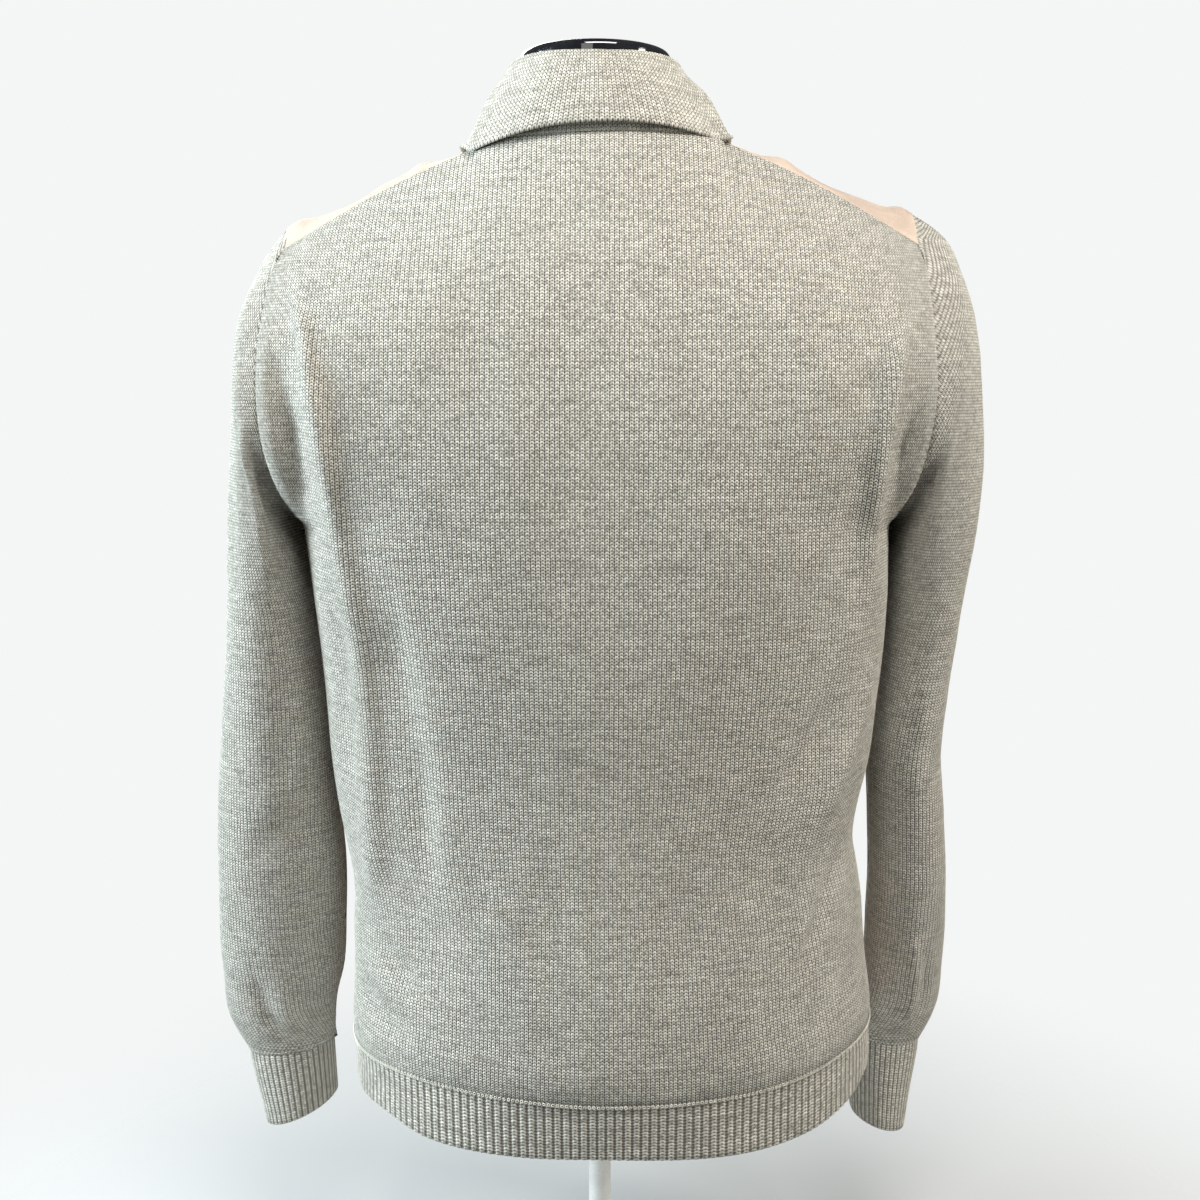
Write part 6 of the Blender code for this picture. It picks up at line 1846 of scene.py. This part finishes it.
def buildCap():
    lift = cut["stand"]
    low, top = capCut["low"] + lift, capCut["top"] + lift
    r, edge = capCut["radius"], capCut["round"]
    profile = [(0.0, low), (r - 0.002, low), (r - 0.0004, low + 0.0008), (r, low + 0.002)]
    profile += [(r, low + (top - edge - low) * t) for t in (0.3, 0.6, 0.9, 1.0)]
    for n in range(1, 9):
        a = math.radians(90 * n / 8)
        profile.append((r - edge + edge * math.cos(a), top - edge + edge * math.sin(a)))
    profile += [(r * 0.6, top), (0.0, top)]
    return latheMesh("glossNeckCap", profile, capCut["centre"], capGloss)


dress(buildCap(), ["form_neck_cap"])
dress(carried("form_torso", "formTorso", formCover, 0.0, 1), ["form_torso"])

# plate and pole: (radius, height) from the floor to the form
footProfile = [
    (0.0, 0.0), (0.1070, 0.0), (0.1085, 0.0004), (0.1100, 0.0015), (0.1100, 0.0045),
    (0.1092, 0.0056), (0.1076, 0.0061), (0.0900, 0.0068), (0.0400, 0.0092),
    (0.0220, 0.0106), (0.0140, 0.0130), (0.0100, 0.0160), (0.0080, 0.0200),
    (0.0080, 0.1000), (0.0080, 0.1960), (0.0080, 0.2050), (0.0110, 0.2085),
    (0.0200, 0.2112), (0.0200, 0.2117), (0.0, 0.2117),
]
dress(latheMesh("formFoot", footProfile, (0, 0), footPaint), ["form_foot"])
print("dress form made")

for stitch in stitches.values():
    bpy.data.objects.remove(stitch)

# floor, light and camera

studio = dict(
    paper=(0.905, 0.922, 0.913, 1), ambient=0.10,
    floor=(0.59, 0.598, 0.594, 1), floorRough=0.85, floorShine=0.1,
    floorRadius=2.0, floorDown=0.0002, floorFade=(0.16, 0.75),
    cameraAt=(0.0, 0.98, 0.680), cameraFall=8.7, sensor=36.0,
    focalPixels=1431, photoPixels=1200,      # the photo's focal length and width in its pixels
)
softWhite = (1.0, 0.985, 0.955)
daylight = (0.80, 0.925, 1.0)
# light: place, target, size, power, colour
lights = [
    ("overheadLight", (-0.12, 0.74, 1.50), (0.0, 0.08, 0.74), (0.7, 0.30), 13.0, softWhite),
    *[("windowPane" + word, (1.52, y, 0.86), (0.12, 0.05, 0.52), (0.20, 0.8), 14.6, daylight)
      for word, y in (("Front", 0.0), ("Middle", 0.24), ("Back", 0.48))],
    ("cameraLight", (0.35, 1.60, 1.45), (0.0, 0.08, 0.66), (0.5, 0.4), 1.2, (1.0, 0.985, 0.95)),
    ("frontLight", (0.7, -2.0, 1.6), (0.0, 0.02, 0.50), (1.2, 1.2), 26.0, (1.0, 0.98, 0.95)),
    ("rightLight", (-1.50, 0.42, 0.90), (-0.12, 0.05, 0.50), (0.3, 0.8), 14.6,
     (1.0, 0.95, 0.87)),
]


def buildFloor():
    bpy.ops.mesh.primitive_circle_add(vertices=96, radius=studio["floorRadius"],
                                      fill_type="NGON",
                                      location=(0, 0, -studio["floorDown"]))
    floor = bpy.context.object
    floor.name = "studioFloor"
    mat = bpy.data.materials.new("paleFloor")
    mat.use_nodes = True
    tree = mat.node_tree
    surface = tree.nodes["Principled BSDF"]
    fill(tree, surface, Base_Color=studio["floor"], Roughness=studio["floorRough"],
         Specular_IOR_Level=studio["floorShine"])
    where = place(tree, "ShaderNodeTexCoord").outputs["Object"]
    fade = shape(tree, vectorCalc(tree, "LENGTH", where), *studio["floorFade"])
    clear = place(tree, "ShaderNodeBsdfTransparent")
    mix = place(tree, "ShaderNodeMixShader")
    tree.links.new(fade, mix.inputs[0])
    tree.links.new(surface.outputs[0], mix.inputs[1])
    tree.links.new(clear.outputs[0], mix.inputs[2])
    tree.links.new(mix.outputs[0], tree.nodes["Material Output"].inputs["Surface"])
    floor.data.materials.append(mat)


def buildWorld():
    world = bpy.data.worlds.new("paleStudio")
    bpy.context.scene.world = world
    world.use_nodes = True
    tree = world.node_tree
    paper = tree.nodes["Background"]
    paper.inputs[0].default_value = studio["paper"]
    path = place(tree, "ShaderNodeLightPath")
    strength = shape(tree, path.outputs["Is Camera Ray"], 0.0, 1.0, studio["ambient"], 1.0, False)
    tree.links.new(strength, paper.inputs[1])


def areaLight(name, where, target, size, power, colour):
    data = bpy.data.lights.new(name, "AREA")
    data.shape = "RECTANGLE"
    data.size, data.size_y = size
    data.energy = power
    data.color = colour
    obj = addObject(name, data)
    obj.location = where
    away = Vector(where) - Vector(target)
    obj.rotation_euler = away.to_track_quat("Z", "Y").to_euler()


def buildCamera():
    data = bpy.data.cameras.new("photoCamera")
    data.sensor_width = studio["sensor"]
    data.lens = studio["focalPixels"] / studio["photoPixels"] * studio["sensor"]
    data.clip_end = 50
    camera = addObject("photoCamera", data)
    camera.location = studio["cameraAt"]
    camera.rotation_euler = (math.radians(90 - studio["cameraFall"]), 0, math.radians(180))
    bpy.context.scene.camera = camera


buildFloor()
buildWorld()
for light in lights:
    areaLight(*light)
buildCamera()
bpy.context.scene.view_settings.view_transform = "Standard"
print("studio ready")
